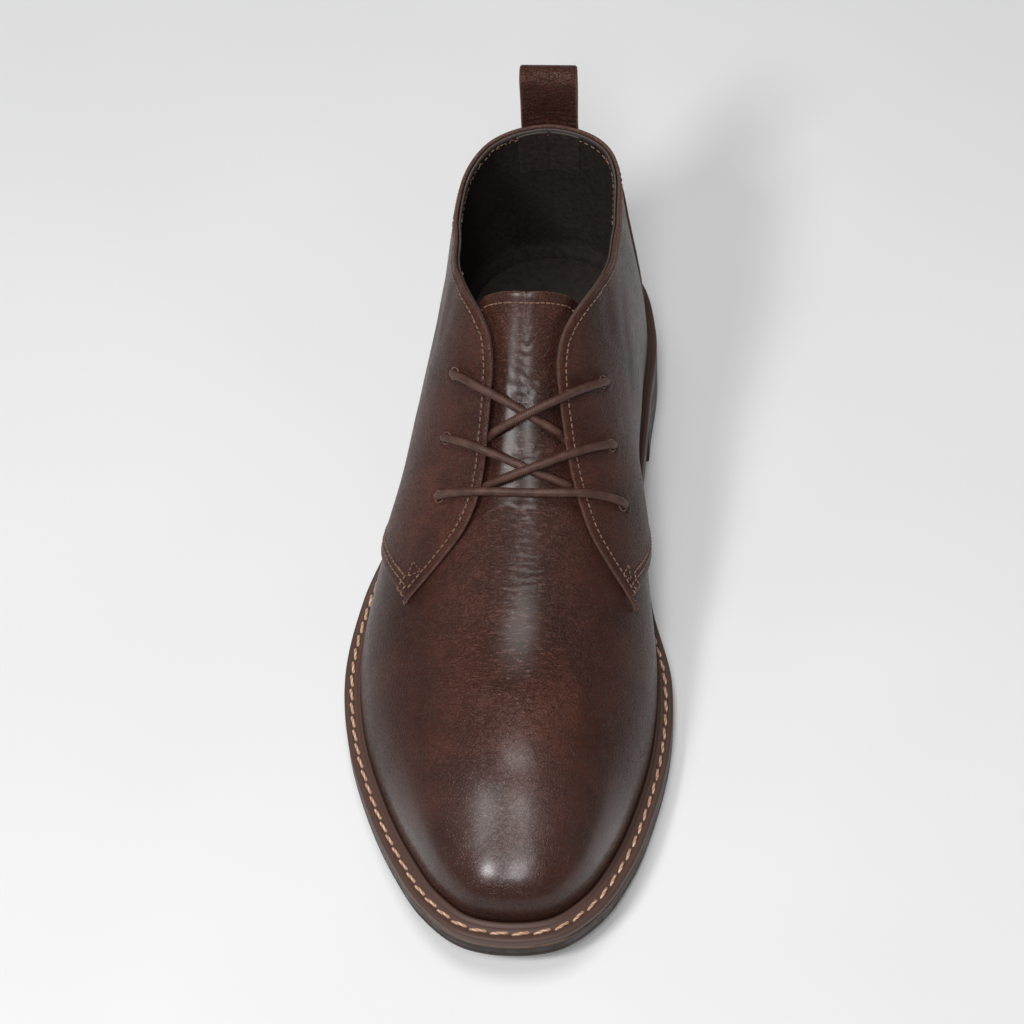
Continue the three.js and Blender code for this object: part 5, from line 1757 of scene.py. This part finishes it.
class BOOT_OT_lace(bpy.types.Operator):
    """Make the lace: the bar and the two crossings"""
    bl_idname = "boot.lace"
    bl_label = "Lace"

    def execute(self, context):
        props = context.scene.boot_lace
        skin, n, shader = material("lace_braid")
        group = n.add("ShaderNodeGroup", node_tree=braid())
        group.inputs["Yarn"].default_value = props.yarn
        group.inputs["Sheen"].default_value = props.sheen
        n.link(n.attribute("along"), group.inputs["Along"])
        n.link(n.attribute("round"), group.inputs["Round"])
        n.link(group.outputs["Color"], shader.inputs["Base Color"])
        bump(n, shader, group.outputs["Height"])
        shader.inputs["Roughness"].default_value = 0.46
        shader.inputs["Specular IOR Level"].default_value = 0.35
        radius = props.diameter / MM / 2
        lines = lace_lines(radius)
        names = [("lace_bar_run", "lace_bar"), ("lace_middle_outer", "lace_middle"), ("lace_middle_inner", None),
                 ("lace_top_outer", "lace_top"), ("lace_top_inner", None)]
        pieces = [bpy.data.objects["quarters"], bpy.data.objects["vamp_and_tongue"]]
        laid = []
        for (name, node), line in zip(names, lines):
            line = smoothed(resampled(line, 0.6)[0], 5)
            line = taut(line, radius, pieces, laid, (7, 7 if name == "lace_bar_run" else 22))
            laid.append(line)
            lace_piece(name, line, radius, skin, node)
        # lighter rings round the eyelets: painted highlight on each raised rim
        rim_highlights = noisy("eyelet_rim_highlight", (0.12, 0.06, 0.045), (0.26, 0.15, 0.115), 500.0, (0.35, 0.5), 0.03)
        rings = []
        for side, middle, out, turn, far in eyelets():
            angle = np.linspace(0, 2 * math.pi, 41)
            first = np.cross(out, [0, 0, 1.0])
            first /= np.linalg.norm(first)
            second = np.cross(out, first)
            line = middle + EYELET_RIM * (np.cos(angle)[:, None] * first + np.sin(angle)[:, None] * second)
            line, normals = snapped(pieces[0], line + out * QUARTER_WALL)
            rings.append(line + out * 0.05)
        for k, line in enumerate(rings):
            tube(f"eyelet_highlight_rim_{k + 1}", line, 0.26, 8, rim_highlights, "upper_leather")
        return {"FINISHED"}


class BOOT_OT_seams(bpy.types.Operator):
    """Sew the rows of stitches on the upper"""
    bl_idname = "boot.seams"
    bl_label = "Seams"

    def execute(self, context):
        props = context.scene.boot_sole
        quarters = bpy.data.objects["quarters"]
        vamp = bpy.data.objects["vamp_and_tongue"]
        turns = closed_turns(QUARTER_TIP - 0.002, 400)
        tops = top_run(turns)
        foots = np.minimum(np.maximum(foot_run(turns), 0.4), tops - 0.3)
        v, runs, _ = rib_run(turns)
        lift = QUARTER_WALL
        curves = []
        for edge in (tops, foots):
            rise = np.array([np.interp(t, runs[i], v) for i, t in enumerate(edge)])
            curves.append(last(turns, rise) + normal_at(turns, rise) * lift)
        top, foot = curves
        front = np.abs(turns) < 0.585
        limit = np.concatenate([top, foot[front]])
        parts = []
        length, radius = 1.75, 0.28

        def sew(piece, curve, inset, bounds, guide, step=2.3):
            places, ahead, normals = row_inside(piece, curve, inset, step, bounds, guide)
            parts.append(stitches(places, ahead, normals, length, radius))

        middle_rise = np.array([np.interp((a + b) / 2, runs[i], v) for i, (a, b) in enumerate(zip(tops, foots))])
        middle = last(turns, middle_rise)
        sew(quarters, top, 2.5, limit, middle)
        for side in (turns > 0, turns < 0):
            keep = front & side
            for inset in (2.5, 4.6):
                sew(quarters, foot[keep], inset, limit, middle[keep])
        rim_turns = np.concatenate([np.full(60, -TONGUE_TOP), np.full(60, TONGUE_TOP)])
        rise = np.concatenate([np.linspace(0.64, 0.999, 60), np.linspace(0.999, 0.64, 60)])
        v, runs, _ = rib_run(rim_turns)
        run = np.array([np.interp(r, v, runs[i]) for i, r in enumerate(rise)])
        past = (run - top_run(rim_turns)) / 24.0
        rim_turns = rim_turns - np.sign(rim_turns) * TONGUE_DIP * smooth_step(past)
        rim = last(rim_turns, rise) - normal_at(rim_turns, rise) * TONGUE_DROP
        row = last(rim_turns - np.sign(rim_turns) * 0.0078, rise)
        row = smoothed(row[past > -0.02], 40)
        sew(vamp, row, 0.0, rim, None, 2.0)
        collar = np.abs(turns) > 0.64
        lining = bpy.data.objects["shaft_lining"]
        inside = top - normal_at(turns, np.full(len(turns), 0.9)) * (lift + LINING_WALL)
        low_inside = middle - normal_at(turns, middle_rise) * (lift + LINING_WALL)
        sew(lining, inside[collar], 3.0, inside, low_inside[collar], 2.4)
        for side in (-1, 1):
            tack(parts, quarters, side)
        points, faces, values = joined(parts)
        skin = thread_material("seam_thread", props.seam_thread, props.seam_thread_light)
        finished(mesh_object("seam_stitching", points, faces, values, skin), "upper_leather")
        return {"FINISHED"}


class BOOT_OT_sole(bpy.types.Operator):
    """Make the welt, the outsole and the heel"""
    bl_idname = "boot.sole"
    bl_label = "Sole"

    def execute(self, context):
        outsole_piece(context.scene.boot_sole)
        heel_piece(context.scene.boot_sole)
        welt_piece(context.scene.boot_sole)
        welt_stitches(context.scene.boot_sole)
        return {"FINISHED"}


PHOTO_PLACE = Vector((0.0787, -0.7279, 1.0936))
PHOTO_TILT = math.radians(55.0)
PHOTO_TURN = math.radians(1.2)
PHOTO_FOCAL = 3700.0
PHOTO_SHIFT = (-182.0, -12.0)


class BOOT_OT_stage(bpy.types.Operator):
    """Make the floor, the lights and the camera"""
    bl_idname = "boot.stage"
    bl_label = "Stage"

    def execute(self, context):
        props = context.scene.boot_stage
        forward = Vector((-math.sin(PHOTO_TURN) * math.cos(PHOTO_TILT), math.cos(PHOTO_TURN) * math.cos(PHOTO_TILT),
                          -math.sin(PHOTO_TILT)))
        right = Vector((math.cos(PHOTO_TURN), math.sin(PHOTO_TURN), 0))
        up = right.cross(forward)
        aim = forward + right * (PHOTO_SHIFT[0] / PHOTO_FOCAL) - up * (PHOTO_SHIFT[1] / PHOTO_FOCAL)
        aim.normalize()
        swing = forward.rotation_difference(aim)
        data = bpy.data.cameras.new("camera")
        data.lens = props.lens
        data.sensor_width = 36.0
        data.clip_end = 20.0
        camera = bpy.data.objects.new("camera", data)
        axes = Matrix((right, up, -forward)).transposed()
        camera.rotation_mode = "QUATERNION"
        camera.rotation_quaternion = swing @ axes.to_quaternion()
        camera.location = PHOTO_PLACE
        context.scene.collection.objects.link(camera)
        context.scene.camera = camera

        bpy.ops.mesh.primitive_plane_add(size=6.0, location=(0, 0, 0))
        floor = context.object
        floor.name = "floor"
        paper, n, shader = material("pale_paper")
        place = n.add("ShaderNodeTexCoord").outputs["Object"]
        tone = n.step(n.noise(place, 6.0, 2.0), 0.3, 0.7)
        n.link(n.mix(tone, (0.80, 0.80, 0.805, 1), (0.83, 0.83, 0.832, 1)), shader.inputs["Base Color"])
        shader.inputs["Roughness"].default_value = 0.8
        shader.inputs["Emission Color"].default_value = (1, 1, 1, 1)
        shader.inputs["Emission Strength"].default_value = 0.10
        floor.data.materials.append(paper)

        def area(name, place, target, size, power, colour=(1, 1, 1)):
            light = bpy.data.lights.new(name, "AREA")
            light.shape = "RECTANGLE"
            light.size, light.size_y = size
            light.energy = power
            light.color = colour
            lamp = bpy.data.objects.new(name, light)
            lamp.location = place
            lamp.rotation_euler = (Vector(target) - Vector(place)).to_track_quat("-Z", "Y").to_euler()
            context.scene.collection.objects.link(lamp)

        area("key", (-0.55, -0.65, 1.11), (0, -0.1, 0.05), (0.26, 0.26), props.key)
        area("overhead", (-0.06, 0.14, 1.55), (0, 0, 0.05), (0.5, 0.6), props.overhead)
        area("front", (-0.02, -0.77, 1.28), (0, 0, 0.05), (0.24, 0.50), props.front)
        area("fill", (1.10, -0.42, 0.75), (0, 0, 0.05), (0.5, 0.5), props.fill)
        world = bpy.data.worlds.new("studio")
        world.use_nodes = True
        world.node_tree.nodes["Background"].inputs["Color"].default_value = (0.96, 0.97, 1.0, 1)
        world.node_tree.nodes["Background"].inputs["Strength"].default_value = 0.10
        context.scene.world = world
        return {"FINISHED"}


class BOOT_PT_panel(bpy.types.Panel):
    """Pieces of the boot"""
    bl_idname = "BOOT_PT_panel"
    bl_label = "Chukka boot"
    bl_space_type = "VIEW_3D"
    bl_region_type = "UI"
    bl_category = "Boot"

    def draw(self, context):
        layout = self.layout
        for group in GROUPS:
            box = layout.box()
            box.label(text=group.title())
            holder = getattr(context.scene, group)
            for key in holder.__annotations__:
                box.prop(holder, key)
        for kind in OPERATORS:
            layout.operator(kind.bl_idname)


GROUPS = {"boot_leather": BootLeather, "boot_sole": BootSole, "boot_lace": BootLace, "boot_stage": BootStage}
OPERATORS = [BOOT_OT_stage, BOOT_OT_vamp, BOOT_OT_quarters, BOOT_OT_lining, BOOT_OT_loop, BOOT_OT_lace,
             BOOT_OT_seams, BOOT_OT_sole]


def register():
    for kind in [*GROUPS.values(), *OPERATORS, BOOT_PT_panel]:
        bpy.utils.register_class(kind)
    for name, kind in GROUPS.items():
        setattr(bpy.types.Scene, name, bpy.props.PointerProperty(type=kind))


def unregister():
    for name in GROUPS:
        delattr(bpy.types.Scene, name)
    for kind in reversed([*GROUPS.values(), *OPERATORS, BOOT_PT_panel]):
        bpy.utils.unregister_class(kind)


def main():
    register()
    bpy.context.scene.view_settings.view_transform = "Standard"
    for make in (bpy.ops.boot.stage, bpy.ops.boot.vamp, bpy.ops.boot.quarters, bpy.ops.boot.lining,
                 bpy.ops.boot.loop, bpy.ops.boot.lace, bpy.ops.boot.seams, bpy.ops.boot.sole):
        make()


if __name__ == "__main__":
    main()
